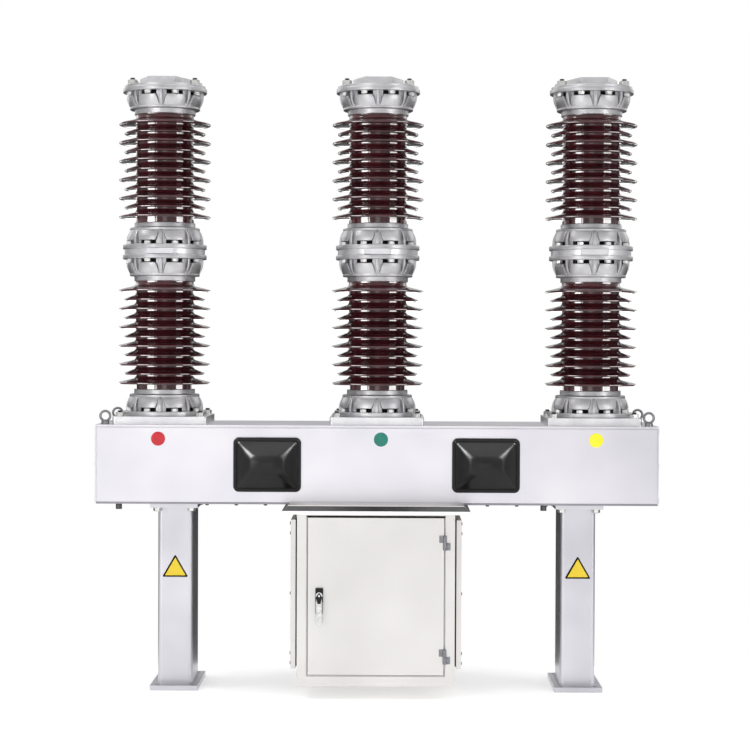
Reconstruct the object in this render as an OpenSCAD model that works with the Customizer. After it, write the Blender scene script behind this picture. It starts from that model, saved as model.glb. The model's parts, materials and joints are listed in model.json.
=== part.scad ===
// Outdoor vacuum circuit breaker, three poles on a two-legged frame.
// Millimetres. +Z up, front faces -Y, origin on the ground under the middle of the object.

/* [Frame] */
// Distance between the axes of neighbouring poles
phase_pitch = 710; // [500:5:900]
// Distance from an outer pole's base plate to the end of the beam
beam_margin = 47; // [40:1:120]
// Depth of the beam from front to back
beam_depth = 380; // [330:5:500]
// Height of the underside of the beam above the ground
beam_bottom = 615; // [560:5:1200]
// Height of the beam
beam_h = 257; // [220:1:320]
// Thickness of the beam's plates
beam_plate_t = 6; // [4:1:10]
// Setback of the beam's front and back panels behind the plate edges
panel_setback = 2; // [1:0.5:4]
// Thickness of the beam's end covers
end_cover_t = 4; // [3:0.5:8]
// Stand-out of the screw heads on the end covers
end_screw_h = 4; // [2:0.5:6]
// Radius of the screw heads on the end covers
end_screw_r = 7; // [4:0.5:9]
// Distance from one leg axis to the other
leg_pitch = 1325; // [1000:5:1500]
// Width of a leg column
leg_w = 115; // [90:1:120]
// Depth of a leg column
leg_d = 200; // [150:5:220]
// Corner radius of a leg column
leg_corner_r = 14; // [6:1:30]
// Width of a foot plate and of a leg's top plate
foot_w = 156; // [150:1:200]
// Depth of a foot plate and of a leg's top plate
foot_d = 300; // [290:5:360]
// Thickness of a foot plate and of a leg's top plate
foot_t = 16; // [10:1:25]
// Anchor hole spacing across a foot
anchor_dx = 112; // [80:1:120]
// Anchor hole spacing along a foot
anchor_dy = 250; // [245:1:260]
// Radius of an anchor hole
anchor_r = 9; // [6:0.5:11]

/* [Pole] */
// Side of the square base plate
base_side = 308; // [290:2:360]
// Corner radius of the base plate
base_corner_r = 8; // [4:1:20]
// Thickness of the base plate
base_t = 25; // [12:1:30]
// Radius of a flange rim
rim_r = 139; // [130:1:155]
// Thickness of a flange rim
rim_t = 15; // [8:1:20]
// Height of the ribbed bell between rim and neck ring
bell_h = 48; // [40:1:80]
// Height of the pocket for the bolts between rim and bell
pocket_h = 12; // [8:1:16]
// Radius of the bottom of that pocket
pocket_r = 104; // [95:1:110]
// Radius of the bell above the pocket
shoulder_r = 123; // [114:1:126]
// Radius of the bell below its neck ring
throat_r = 113; // [104:1:114]
// Radius of the neck ring
neck_r = 116; // [114:1:120]
// Height of the neck ring
neck_h = 8; // [5:1:12]
// Radius of the collar that grips the porcelain
collar_r = 101; // [99:0.5:106]
// Height of the collar
collar_h = 17; // [10:1:30]
// Number of ribs round a bell
rib_count = 8; // [4:1:12]
// Thickness of a rib
rib_t = 12; // [6:1:18]
// Distance of a rib's foot from the edge of the rim
rib_inset = 11; // [9:1:12]
// Radius of the porcelain core
core_r = 96; // [85:1:98]
// Radius of the large sheds
big_shed_r = 151.5; // [130:0.5:170]
// Radius of the small sheds
small_shed_r = 134; // [115:0.5:150]
// Distance from one large shed to the next
shed_pitch = 61.5; // [56:0.5:80]
// Number of large sheds on one insulator
big_sheds = 6; // [3:1:10]
// Height of the first shed tip above the lower collar
first_tip = 19; // [10:1:30]
// Height of the upper collar above the last shed tip
last_tip = 31; // [28:1:50]
// Thickness of a shed at its tip
tip_t = 6; // [4:0.5:8]
// Rise of a shed's upper side from tip to root
shed_rise = 16; // [8:1:20]
// Thickness of the middle terminal plate
mid_plate_t = 18; // [10:1:30]
// Radius of the middle terminal plate
mid_plate_r = 133; // [125:1:138]
// Width of a terminal's straight end
terminal_w = 88; // [80:1:120]
// Reach of the middle terminal's tongues beyond the flange rims
tongue_reach = 9; // [4:1:20]
// Thickness of the cap on top of the pole
cap_t = 8; // [6:1:14]
// Radius of the cap
cap_r = 134; // [125:1:138]
// Thickness of the top terminal plate
top_plate_t = 25; // [18:1:30]
// Length of the top terminal plate from front to back
top_plate_len = 190; // [160:2:230]
// Width of the top terminal plate at its middle
top_plate_w = 168; // [140:2:190]
// Spacing of the terminal's four tapped holes
terminal_hole_d = 50; // [40:1:56]
// Radius of a terminal hole
terminal_hole_r = 6.5; // [4:0.25:8]
// Depth of a terminal hole
terminal_hole_depth = 16; // [8:1:18]

/* [Beam fittings] */
// Distance from the middle of the beam to the middle of a sight cover
sight_x = 355; // [330:1:380]
// Height of the middle of a sight cover above the beam's underside
sight_z = 129; // [120:1:135]
// Width of a sight cover
sight_w = 220; // [180:1:240]
// Height of a sight cover
sight_h = 177; // [140:1:190]
// Corner radius of a sight cover
sight_r = 18; // [8:1:30]
// Thickness of a sight cover's flange
sight_flange_t = 9; // [5:1:14]
// Width of the flange round the dome
sight_flange_w = 12; // [8:1:20]
// Stand-out of the dome from the beam
sight_out = 60; // [40:1:80]
// Width of the dome's crown
sight_crown_w = 96; // [60:1:120]
// Height of the dome's crown
sight_crown_h = 54; // [30:1:80]
// Distance of a lifting eye's axis from the base plate
eye_gap = 23; // [18:1:25]
// Distance of a lifting eye from the beam's front or back
eye_inset_y = 40; // [25:1:60]
// Outer radius of a lifting eye
eye_outer_r = 20; // [16:1:24]
// Radius of the bar that the eye is bent from
eye_bar_r = 4; // [3:0.5:6]
// Height of the eye's centre above the beam
eye_rise = 27; // [22:1:34]
// Radius of the eye's foot
eye_foot_r = 13; // [8:1:18]
// Height of the eye's foot
eye_foot_h = 10; // [8:1:14]
// Radius of a plug under the beam
plug_r = 10; // [6:1:14]
// Length of a plug under the beam
plug_h = 20; // [12:1:30]

/* [Cabinet] */
// Width of the cabinet
cabinet_w = 505; // [450:1:520]
// Depth of the cabinet
cabinet_d = 600; // [500:5:760]
// Height of the cabinet's floor above the ground
cabinet_bottom = 42; // [20:1:80]
// Thickness of the cabinet's sheet steel
sheet_t = 3; // [2:0.5:5]
// Thickness of the roof's flange
roof_t = 11; // [6:1:14]
// Overhang of the roof beyond the cabinet's walls
roof_overhang = 47; // [30:1:60]
// Height of the sloping skirt on the roof
skirt_h = 14; // [8:1:20]
// Inward slope of the skirt
skirt_run = 20; // [10:1:30]
// Thickness of the plate on top of the skirt
cap_plate_t = 3; // [2:0.5:5]
// Thickness of the seal between roof and beam
seal_t = 8; // [4:1:12]
// Depth of the bars of the front frame
frame_d = 20; // [15:1:30]
// Width of the front frame's side bars
stile_w = 30; // [20:1:45]
// Height of the front frame's bottom bar
bottom_rail = 32; // [20:1:60]
// Height of the front frame's top bar
top_rail = 7; // [6:1:20]
// Thickness of a side cover
side_cover_t = 16; // [8:1:20]
// Thickness of the gasket behind a side cover
gasket_t = 6; // [3:0.5:8]
// Setback of a side cover from the cabinet's front and back
side_cover_setback = 40; // [20:1:80]
// Height of a side cover's lower edge above the cabinet's floor
side_cover_low = 50; // [20:1:80]
// Distance of a side cover's upper edge below the roof
side_cover_drop = 24; // [12:1:60]
// Setback of the gasket from the side cover's edge
gasket_setback = 8; // [4:1:15]

/* [Door] */
// Gap at the sides and foot of the door
door_gap = 5; // [5:0.5:8]
// Gap above the door
door_top_gap = 7; // [6:0.5:10]
// Depth of the door's folded edges
door_d = 18; // [12:1:20]
// Radius of a hinge barrel
barrel_r = 6; // [5:0.5:9]
// Height of one hinge
hinge_h = 47; // [30:1:70]
// Gap between the two halves of a hinge
barrel_gap = 0.5; // [0.3:0.1:1]
// Radius of a hinge pin
pin_r = 3; // [2:0.25:4]
// Clearance round a hinge pin
pin_clear = 0.3; // [0.2:0.05:0.5]
// Distance from the door's lower edge to the lower hinge's middle
low_hinge = 60; // [50:1:120]
// Distance from the door's upper edge to the upper hinge's middle
high_hinge = 79; // [50:1:120]
// Clearance between barrel and door face
barrel_clear = 1.5; // [1:0.5:3]
// Width of a hinge leaf beyond the barrel's axis
leaf_w = 18; // [14:1:24]
// Thickness of a hinge leaf
leaf_t = 3; // [2:0.5:4]
// Distance from the door's free edge to the lock
lock_inset = 37; // [25:1:60]
// Height of the lock's spindle above the door's lower edge
lock_rise = 256; // [150:1:400]
// Width of the lock body
lock_w = 25; // [20:1:36]
// Height of the lock body
lock_h = 46; // [36:1:60]
// Stand-out of the lock body from the door
lock_out = 9; // [6:1:14]
// Radius of the lock's spindle
spindle_r = 6; // [4:0.5:8]
// Gap between lock body and lever
lever_gap = 5; // [5:0.5:8]
// Radius of the lever's hub
hub_r = 11; // [9:0.5:14]
// Thickness of the lever
lever_t = 10; // [6:1:14]
// Length of the lever from its axis to its tip
lever_len = 94; // [60:1:120]
// Width of the lever at its tip
lever_w = 18; // [12:1:22]

/* [Hidden] */
$fn = 96;

// Heights and lengths
beam_len = 2 * phase_pitch + base_side + 2 * beam_margin;
beam_top = beam_bottom + beam_h;
flange_h = rim_t + bell_h + neck_h + collar_h;
insulator_h = first_tip + (big_sheds - 1) * shed_pitch + last_tip;
z_bottom_flange = beam_top + base_t;
z_lower_insulator = z_bottom_flange + flange_h;
z_middle_low = z_lower_insulator + insulator_h;
z_middle_plate = z_middle_low + flange_h;
z_middle_high = z_middle_plate + mid_plate_t;
z_upper_insulator = z_middle_high + flange_h;
z_top_flange = z_upper_insulator + insulator_h;
z_cap = z_top_flange + flange_h;
z_top_plate = z_cap + cap_t;
roof_bottom = beam_bottom - seal_t - roof_t;
roof_top = beam_bottom - seal_t;

// Beam fittings
beam_back = beam_depth / 2;
groove_h = 3;
eye_x = phase_pitch + base_side / 2 + eye_gap;
eye_y = beam_back - eye_inset_y;
sight_mid = beam_bottom + sight_z;
end_screw_rows = [14, beam_h / 2, beam_h - 14];
end_screw_y = beam_back - 25;
plug_places = [[-eye_x + 45, -eye_y], [eye_x - 342, -eye_y]];

// Cabinet and door
front_y = -cabinet_d / 2;
opening_w = cabinet_w - 2 * stile_w;
opening_low = cabinet_bottom + bottom_rail;
opening_high = roof_bottom - top_rail;
door_w = opening_w - 2 * door_gap;
door_low = opening_low + door_gap;
door_high = opening_high - door_top_gap;
hinge_x = opening_w / 2 - door_gap / 2;
hinge_y = front_y - barrel_clear - barrel_r;
hinge_mids = [door_low + low_hinge, door_high - high_hinge];
lock_x = -door_w / 2 + lock_inset;
spindle_z = door_low + lock_rise;
lock_face = front_y - lock_out;
lever_back = lock_face - lever_gap;
cover_low = cabinet_bottom + side_cover_low;
cover_high = roof_bottom - side_cover_drop;
cover_d = cabinet_d - 2 * side_cover_setback;

// Box given by its lowest and highest corners
module block(low, high) {
    translate(low)
        cube(high - low);
}

// Rectangle with round corners, centred
module round_rect(w, h, r) {
    square([w - 2 * r, h], center = true);
    square([w, h - 2 * r], center = true);
    for (sx = [-1, 1], sy = [-1, 1])
        translate([sx * (w / 2 - r), sy * (h / 2 - r)])
            circle(r);
}

// Plate with round corners that stands out towards the front, its back at y
module front_plate(w, h, r, y, t) {
    translate([0, y, 0])
        rotate([90, 0, 0])
            linear_extrude(t)
                round_rect(w, h, r);
}

// Ribbed bell flange: rim at the bottom, collar at the top
module bell_flange() {
    z_neck = rim_t + bell_h;
    rotate_extrude()
        polygon([
            [0, 0], [rim_r, 0], [rim_r, rim_t], [pocket_r, rim_t], [pocket_r, rim_t + pocket_h],
            [shoulder_r, rim_t + pocket_h], [throat_r, z_neck],
            [neck_r, z_neck], [neck_r, z_neck + neck_h], [collar_r, z_neck + neck_h],
            [collar_r, flange_h], [0, flange_h],
        ]);
    for (i = [0 : rib_count - 1])
        rotate([0, 0, i * 360 / rib_count])
            rib();
}

// One rib of a bell, in the plane through the axis; its top ends inside the neck ring
module rib() {
    rib_foot = rim_r - rib_inset;
    rib_head = neck_r - 5;
    rib_root = pocket_r - 14;
    z_knee = rim_t + 3;
    z_head = rim_t + bell_h + neck_h / 2;
    bulge = (rib_foot + rib_head) / 2 + 4;
    translate([0, rib_t / 2, 0])
        rotate([90, 0, 0])
            linear_extrude(rib_t)
                polygon([
                    [rib_root, rim_t / 2], [rib_foot, rim_t / 2], [rib_foot, z_knee],
                    [bulge, rim_t + bell_h / 2], [rib_head, z_head], [rib_root, z_head],
                ]);
}

// Outline of one shed, from its lower root out to the tip and back up to the core
function shed_outline(r, z) = [
    [core_r, z + 1],
    [r - tip_t / 2, z - tip_t / 2],
    [r - tip_t * 0.15, z - tip_t * 0.35],
    [r, z],
    [r - tip_t * 0.15, z + tip_t * 0.35],
    [r - tip_t / 2, z + tip_t / 2],
    [core_r + 5, z + shed_rise],
    [core_r, z + shed_rise + 5],
];

// Porcelain insulator with large and small sheds in turn
module insulator() {
    sheds = [
        for (i = [0 : 2 * big_sheds - 2])
            each shed_outline(i % 2 == 0 ? big_shed_r : small_shed_r, first_tip + i * shed_pitch / 2)
    ];
    rotate_extrude()
        polygon(concat([[0, 0], [core_r, 0]], sheds, [[core_r, insulator_h], [0, insulator_h]]));
}

// Places a part of a pole: side is -1, 0 or 1
module at_pole(side, z) {
    translate([side * phase_pitch, 0, z])
        children();
}

module pole_base_plate(side) {
    color("silver")
        at_pole(side, beam_top)
            linear_extrude(base_t)
                round_rect(base_side, base_side, base_corner_r);
}

module pole_bottom_flange(side) {
    color("silver")
        at_pole(side, z_bottom_flange)
            bell_flange();
}

module pole_lower_insulator(side) {
    color("#4a1a1c")
        at_pole(side, z_lower_insulator)
            insulator();
}

module pole_middle_flanges(side) {
    color("silver") {
        at_pole(side, z_middle_plate)
            mirror([0, 0, 1])
                bell_flange();
        at_pole(side, z_middle_high)
            bell_flange();
    }
}

module pole_middle_terminal(side) {
    tongue_end = rim_r + tongue_reach;
    color("gainsboro")
        at_pole(side, z_middle_plate) {
            cylinder(mid_plate_t, r = mid_plate_r);
            block([-terminal_w / 2, -tongue_end, 0], [terminal_w / 2, tongue_end, mid_plate_t]);
        }
}

module pole_upper_insulator(side) {
    color("#4a1a1c")
        at_pole(side, z_upper_insulator)
            insulator();
}

module pole_top_flange(side) {
    color("silver")
        at_pole(side, z_cap)
            mirror([0, 0, 1])
                bell_flange();
}

module pole_top_terminal(side) {
    end_y = top_plate_len / 2;
    color("gainsboro")
        at_pole(side, z_cap)
            difference() {
                union() {
                    cylinder(cap_t, r = cap_r);
                    linear_extrude(cap_t + top_plate_t)
                        polygon([
                            [-terminal_w / 2, -end_y], [terminal_w / 2, -end_y], [top_plate_w / 2, 0],
                            [terminal_w / 2, end_y], [-terminal_w / 2, end_y], [-top_plate_w / 2, 0],
                        ]);
                }
                for (sx = [-1, 1], sy = [-1, 1])
                    translate([
                        sx * terminal_hole_d / 2,
                        sy * terminal_hole_d / 2,
                        cap_t + top_plate_t - terminal_hole_depth,
                    ])
                        cylinder(terminal_hole_depth + 1, r = terminal_hole_r);
            }
}

// Leg weldment: foot plate, column and top plate
module leg(side) {
    color("whitesmoke")
        translate([side * leg_pitch / 2, 0, 0]) {
            difference() {
                block([-foot_w / 2, -foot_d / 2, 0], [foot_w / 2, foot_d / 2, foot_t]);
                for (sx = [-1, 1], sy = [-1, 1])
                    translate([sx * anchor_dx / 2, sy * anchor_dy / 2, -1])
                        cylinder(foot_t + 2, r = anchor_r);
            }
            linear_extrude(beam_bottom)
                round_rect(leg_w, leg_d, leg_corner_r);
            block([-foot_w / 2, -foot_d / 2, beam_bottom - foot_t], [foot_w / 2, foot_d / 2, beam_bottom]);
        }
}

module left_leg() {
    leg(-1);
}

module right_leg() {
    leg(1);
}

module beam_top_plate() {
    color("gainsboro")
        block([-beam_len / 2, -beam_back, beam_top - beam_plate_t], [beam_len / 2, beam_back, beam_top]);
}

module beam_bottom_plate() {
    color("gainsboro")
        block([-beam_len / 2, -beam_back, beam_bottom], [beam_len / 2, beam_back, beam_bottom + beam_plate_t]);
}

// Long panel of the beam with a shadow groove below the top plate
module beam_panel() {
    outer = beam_back - panel_setback;
    groove_top = beam_top - beam_plate_t;
    color("gainsboro")
        difference() {
            block(
                [-beam_len / 2, -outer, beam_bottom + beam_plate_t],
                [beam_len / 2, -outer + beam_plate_t, groove_top]
            );
            block(
                [-beam_len / 2 - 1, -outer - 1, groove_top - groove_h],
                [beam_len / 2 + 1, -outer + beam_plate_t / 2, groove_top + 1]
            );
        }
}

module beam_front_panel() {
    beam_panel();
}

module beam_back_panel() {
    mirror([0, 1, 0])
        beam_panel();
}

// End cover of the beam with its screw heads
module end_cover(side) {
    color("gainsboro")
        mirror([side < 0 ? 1 : 0, 0, 0])
            translate([beam_len / 2, 0, beam_bottom]) {
                block([0, -beam_back, 0], [end_cover_t, beam_back, beam_h]);
                for (z = end_screw_rows, sy = [-1, 0, 1])
                    translate([end_cover_t - 1, sy * end_screw_y, z])
                        rotate([0, 90, 0])
                            cylinder(end_screw_h + 1, r = end_screw_r, $fn = 6);
            }
}

module beam_left_end_cover() {
    end_cover(-1);
}

module beam_right_end_cover() {
    end_cover(1);
}

module lifting_eyes() {
    color("dimgray")
        for (sx = [-1, 1], sy = [-1, 1])
            translate([sx * eye_x, sy * eye_y, beam_top]) {
                translate([0, 0, eye_rise])
                    rotate([90, 0, 0])
                        rotate_extrude()
                            translate([eye_outer_r - eye_bar_r, 0])
                                circle(eye_bar_r, $fn = 24);
                cylinder(eye_foot_h, r = eye_foot_r);
            }
}

module drain_plugs() {
    color("gray")
        for (p = plug_places)
            translate([p.x, p.y, beam_bottom - plug_h])
                cylinder(plug_h, r = plug_r);
}

// Moulded cover on the beam's front: flange and hipped dome
module sight_cover(side) {
    dome_w = sight_w - 2 * sight_flange_w;
    dome_h = sight_h - 2 * sight_flange_w;
    panel_y = -beam_back + panel_setback;
    dome_y = panel_y - sight_flange_t;
    crown_y = -beam_back - sight_out;
    color("#18181a")
        translate([side * sight_x, 0, sight_mid]) {
            front_plate(sight_w, sight_h, sight_r, panel_y, sight_flange_t);
            hull() {
                front_plate(dome_w, dome_h, sight_r, dome_y, 2, $fn = 32);
                front_plate(sight_crown_w, sight_crown_h, sight_r, crown_y + 2, 2, $fn = 32);
            }
        }
}

module left_sight_cover() {
    sight_cover(-1);
}

module right_sight_cover() {
    sight_cover(1);
}

module left_pole_base_plate() {
    pole_base_plate(-1);
}

module left_pole_bottom_flange() {
    pole_bottom_flange(-1);
}

module left_pole_lower_insulator() {
    pole_lower_insulator(-1);
}

module left_pole_middle_flanges() {
    pole_middle_flanges(-1);
}

module left_pole_middle_terminal() {
    pole_middle_terminal(-1);
}

module left_pole_upper_insulator() {
    pole_upper_insulator(-1);
}

module left_pole_top_flange() {
    pole_top_flange(-1);
}

module left_pole_top_terminal() {
    pole_top_terminal(-1);
}

module middle_pole_base_plate() {
    pole_base_plate(0);
}

module middle_pole_bottom_flange() {
    pole_bottom_flange(0);
}

module middle_pole_lower_insulator() {
    pole_lower_insulator(0);
}

module middle_pole_middle_flanges() {
    pole_middle_flanges(0);
}

module middle_pole_middle_terminal() {
    pole_middle_terminal(0);
}

module middle_pole_upper_insulator() {
    pole_upper_insulator(0);
}

module middle_pole_top_flange() {
    pole_top_flange(0);
}

module middle_pole_top_terminal() {
    pole_top_terminal(0);
}

module right_pole_base_plate() {
    pole_base_plate(1);
}

module right_pole_bottom_flange() {
    pole_bottom_flange(1);
}

module right_pole_lower_insulator() {
    pole_lower_insulator(1);
}

module right_pole_middle_flanges() {
    pole_middle_flanges(1);
}

module right_pole_middle_terminal() {
    pole_middle_terminal(1);
}

module right_pole_upper_insulator() {
    pole_upper_insulator(1);
}

module right_pole_top_flange() {
    pole_top_flange(1);
}

module right_pole_top_terminal() {
    pole_top_terminal(1);
}

// Side wall of the cabinet
module cabinet_wall(side) {
    color("whitesmoke")
        mirror([side < 0 ? 1 : 0, 0, 0])
            block(
                [cabinet_w / 2 - sheet_t, front_y + frame_d, cabinet_bottom],
                [cabinet_w / 2, -front_y, roof_bottom]
            );
}

module cabinet_left_wall() {
    cabinet_wall(-1);
}

module cabinet_right_wall() {
    cabinet_wall(1);
}

module cabinet_back_wall() {
    inner = cabinet_w / 2 - sheet_t;
    color("whitesmoke")
        block([-inner, -front_y - sheet_t, cabinet_bottom + sheet_t], [inner, -front_y, roof_bottom]);
}

module cabinet_floor() {
    inner = cabinet_w / 2 - sheet_t;
    color("whitesmoke")
        block([-inner, front_y + frame_d, cabinet_bottom], [inner, -front_y, cabinet_bottom + sheet_t]);
}

module cabinet_front_frame() {
    color("whitesmoke")
        difference() {
            block([-cabinet_w / 2, front_y, cabinet_bottom], [cabinet_w / 2, front_y + frame_d, roof_bottom]);
            block(
                [-opening_w / 2, front_y - 1, opening_low],
                [opening_w / 2, front_y + frame_d + 1, opening_high]
            );
        }
}

module cabinet_roof() {
    half_w = cabinet_w / 2 + roof_overhang;
    half_d = cabinet_d / 2 + roof_overhang;
    color("gainsboro")
        block([-half_w, -half_d, roof_bottom], [half_w, half_d, roof_top]);
}

// Sloping skirts of the roof, one before and one behind the beam
module roof_skirts() {
    half_w = cabinet_w / 2 + roof_overhang;
    half_d = cabinet_d / 2 + roof_overhang;
    color("#202022")
        for (turn = [0, 180])
            rotate([0, 0, turn])
                intersection() {
                    rotate([90, 0, 0])
                        translate([0, 0, beam_back])
                            linear_extrude(half_d - beam_back)
                                polygon([
                                    [-half_w, roof_top], [half_w, roof_top],
                                    [half_w - skirt_run, roof_top + skirt_h],
                                    [-half_w + skirt_run, roof_top + skirt_h],
                                ]);
                    rotate([90, 0, 90])
                        translate([0, 0, -half_w])
                            linear_extrude(2 * half_w)
                                polygon([
                                    [-half_d, roof_top], [-beam_back, roof_top],
                                    [-beam_back, roof_top + skirt_h], [-half_d + skirt_run, roof_top + skirt_h],
                                ]);
                }
}

// Flat plates that close the skirts
module roof_cap_plates() {
    half_w = cabinet_w / 2 + roof_overhang - skirt_run;
    half_d = cabinet_d / 2 + roof_overhang - skirt_run;
    z = roof_top + skirt_h;
    color("white")
        for (turn = [0, 180])
            rotate([0, 0, turn])
                block([-half_w, -half_d, z], [half_w, -beam_back, z + cap_plate_t]);
}

// Seal and spacer between the cabinet's roof and the beam
module roof_seal() {
    half_w = cabinet_w / 2;
    half_d = beam_back - 10;
    color("#202022")
        block([-half_w, -half_d, roof_top], [half_w, half_d, beam_bottom]);
}

// Cover that stands proud of the cabinet's side
module side_cover(side) {
    x = cabinet_w / 2 + gasket_t;
    color("gainsboro")
        mirror([side < 0 ? 1 : 0, 0, 0])
            block([x, -cover_d / 2, cover_low], [x + side_cover_t, cover_d / 2, cover_high]);
}

module left_side_cover() {
    side_cover(-1);
}

module right_side_cover() {
    side_cover(1);
}

module side_gaskets() {
    x = cabinet_w / 2;
    half_d = cover_d / 2 - gasket_setback;
    color("#202022")
        for (side = [0, 1])
            mirror([side, 0, 0])
                block(
                    [x, -half_d, cover_low + gasket_setback],
                    [x + gasket_t, half_d, cover_high - gasket_setback]
                );
}

// Door leaf: sheet with folded edges
module door_panel() {
    color("ivory")
        difference() {
            block([-door_w / 2, front_y, door_low], [door_w / 2, front_y + door_d, door_high]);
            block(
                [-door_w / 2 + sheet_t, front_y + sheet_t, door_low + sheet_t],
                [door_w / 2 - sheet_t, front_y + door_d + 1, door_high - sheet_t]
            );
        }
}

// Upper half of each hinge, with its leaf on the door
module door_hinge_halves() {
    half_h = (hinge_h - barrel_gap) / 2;
    color("lightgray")
        for (mid = hinge_mids)
            translate([hinge_x, hinge_y, mid + barrel_gap / 2])
                difference() {
                    union() {
                        cylinder(half_h, r = barrel_r);
                        block([-leaf_w, barrel_r + barrel_clear - leaf_t, 0], [-1, barrel_r + barrel_clear, half_h]);
                    }
                    translate([0, 0, -1])
                        cylinder(half_h - 2, r = pin_r + pin_clear);
                }
}

// Lower half of each hinge, with its pin and its leaf on the frame
module frame_hinge_halves() {
    half_h = (hinge_h - barrel_gap) / 2;
    pin_top = half_h - 5;
    color("lightgray")
        for (mid = hinge_mids)
            translate([hinge_x, hinge_y, mid - barrel_gap / 2]) {
                translate([0, 0, -half_h])
                    cylinder(half_h, r = barrel_r);
                translate([0, 0, -1])
                    cylinder(pin_top + 1, r = pin_r);
                block([1, barrel_r + barrel_clear - leaf_t, -half_h], [leaf_w, barrel_r + barrel_clear, 0]);
            }
}

module door_lock() {
    color("#202022")
        translate([lock_x, 0, spindle_z])
            difference() {
                front_plate(lock_w, lock_h, 4, front_y, lock_out);
                translate([0, front_y + 1, 0])
                    rotate([90, 0, 0])
                        cylinder(lock_out + 2, r = spindle_r + pin_clear);
            }
}

// Lever with its spindle, hanging down when the door is locked
module door_lever() {
    color("silver")
        translate([lock_x, 0, spindle_z]) {
            translate([0, front_y - 1, 0])
                rotate([90, 0, 0])
                    cylinder(lock_out + lever_gap, r = spindle_r);
            translate([0, lever_back, 0])
                rotate([90, 0, 0]) {
                    cylinder(lever_t, r = hub_r);
                    linear_extrude(lever_t)
                        translate([0, -lever_len / 2])
                            round_rect(lever_w, lever_len, 6);
                }
        }
}

left_leg();
right_leg();
beam_top_plate();
beam_bottom_plate();
beam_front_panel();
beam_back_panel();
beam_left_end_cover();
beam_right_end_cover();
lifting_eyes();
drain_plugs();
left_sight_cover();
right_sight_cover();
left_pole_base_plate();
left_pole_bottom_flange();
left_pole_lower_insulator();
left_pole_middle_flanges();
left_pole_middle_terminal();
left_pole_upper_insulator();
left_pole_top_flange();
left_pole_top_terminal();
middle_pole_base_plate();
middle_pole_bottom_flange();
middle_pole_lower_insulator();
middle_pole_middle_flanges();
middle_pole_middle_terminal();
middle_pole_upper_insulator();
middle_pole_top_flange();
middle_pole_top_terminal();
right_pole_base_plate();
right_pole_bottom_flange();
right_pole_lower_insulator();
right_pole_middle_flanges();
right_pole_middle_terminal();
right_pole_upper_insulator();
right_pole_top_flange();
right_pole_top_terminal();
cabinet_left_wall();
cabinet_right_wall();
cabinet_back_wall();
cabinet_floor();
cabinet_front_frame();
cabinet_roof();
roof_skirts();
roof_cap_plates();
roof_seal();
left_side_cover();
right_side_cover();
side_gaskets();
door_panel();
door_hinge_halves();
frame_hinge_halves();
door_lock();
door_lever();
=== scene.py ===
"""Looks of an outdoor vacuum circuit breaker: three porcelain poles on a two-legged steel frame.

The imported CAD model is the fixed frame. Each class below holds the sizes of one sub-assembly, builds
the meshes that are finer than the CAD solids, and dresses both with procedural finishes. Lengths are
metres unless a name ends in _mm.
"""
import json
import logging
import math
from dataclasses import dataclass, field
from enum import Enum

import bpy
import numpy as np
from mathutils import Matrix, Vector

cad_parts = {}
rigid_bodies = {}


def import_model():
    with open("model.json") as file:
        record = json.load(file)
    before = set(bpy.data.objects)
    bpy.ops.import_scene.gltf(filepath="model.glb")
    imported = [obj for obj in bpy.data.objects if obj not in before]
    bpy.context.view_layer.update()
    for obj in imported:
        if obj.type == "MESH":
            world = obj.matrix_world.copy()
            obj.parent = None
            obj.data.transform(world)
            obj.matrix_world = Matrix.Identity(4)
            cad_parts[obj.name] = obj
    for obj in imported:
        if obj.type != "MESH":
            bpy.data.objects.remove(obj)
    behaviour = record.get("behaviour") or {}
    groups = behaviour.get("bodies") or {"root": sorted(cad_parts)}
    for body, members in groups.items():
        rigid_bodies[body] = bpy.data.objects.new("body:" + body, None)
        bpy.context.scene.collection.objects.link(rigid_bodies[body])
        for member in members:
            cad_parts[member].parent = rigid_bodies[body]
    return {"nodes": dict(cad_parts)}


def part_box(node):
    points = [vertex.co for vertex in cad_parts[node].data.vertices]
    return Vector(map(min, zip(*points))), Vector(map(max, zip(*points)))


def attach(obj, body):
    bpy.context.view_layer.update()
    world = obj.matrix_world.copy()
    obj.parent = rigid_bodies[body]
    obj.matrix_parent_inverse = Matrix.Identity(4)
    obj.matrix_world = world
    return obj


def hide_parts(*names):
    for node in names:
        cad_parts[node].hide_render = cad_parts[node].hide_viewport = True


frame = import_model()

LOG = logging.getLogger("breaker")
MM = 0.001
FRAME_BODY = "frame"
LEVER_BODY = "lever"


class Axis(Enum):
    """One of the frame's axes; the value holds the rows and columns that a turn about it mixes."""

    X = (1, 2)
    Y = (2, 0)
    Z = (0, 1)


class Side(Enum):
    """A side of the object as seen from the front; the value is the sign of x there."""

    LEFT = -1.0
    RIGHT = 1.0

    @property
    def word(self) -> str:
        """Returns the side's word in the names of nodes and pieces."""
        return self.name.lower()


# ---------------------------------------------------------------- shapes


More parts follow.
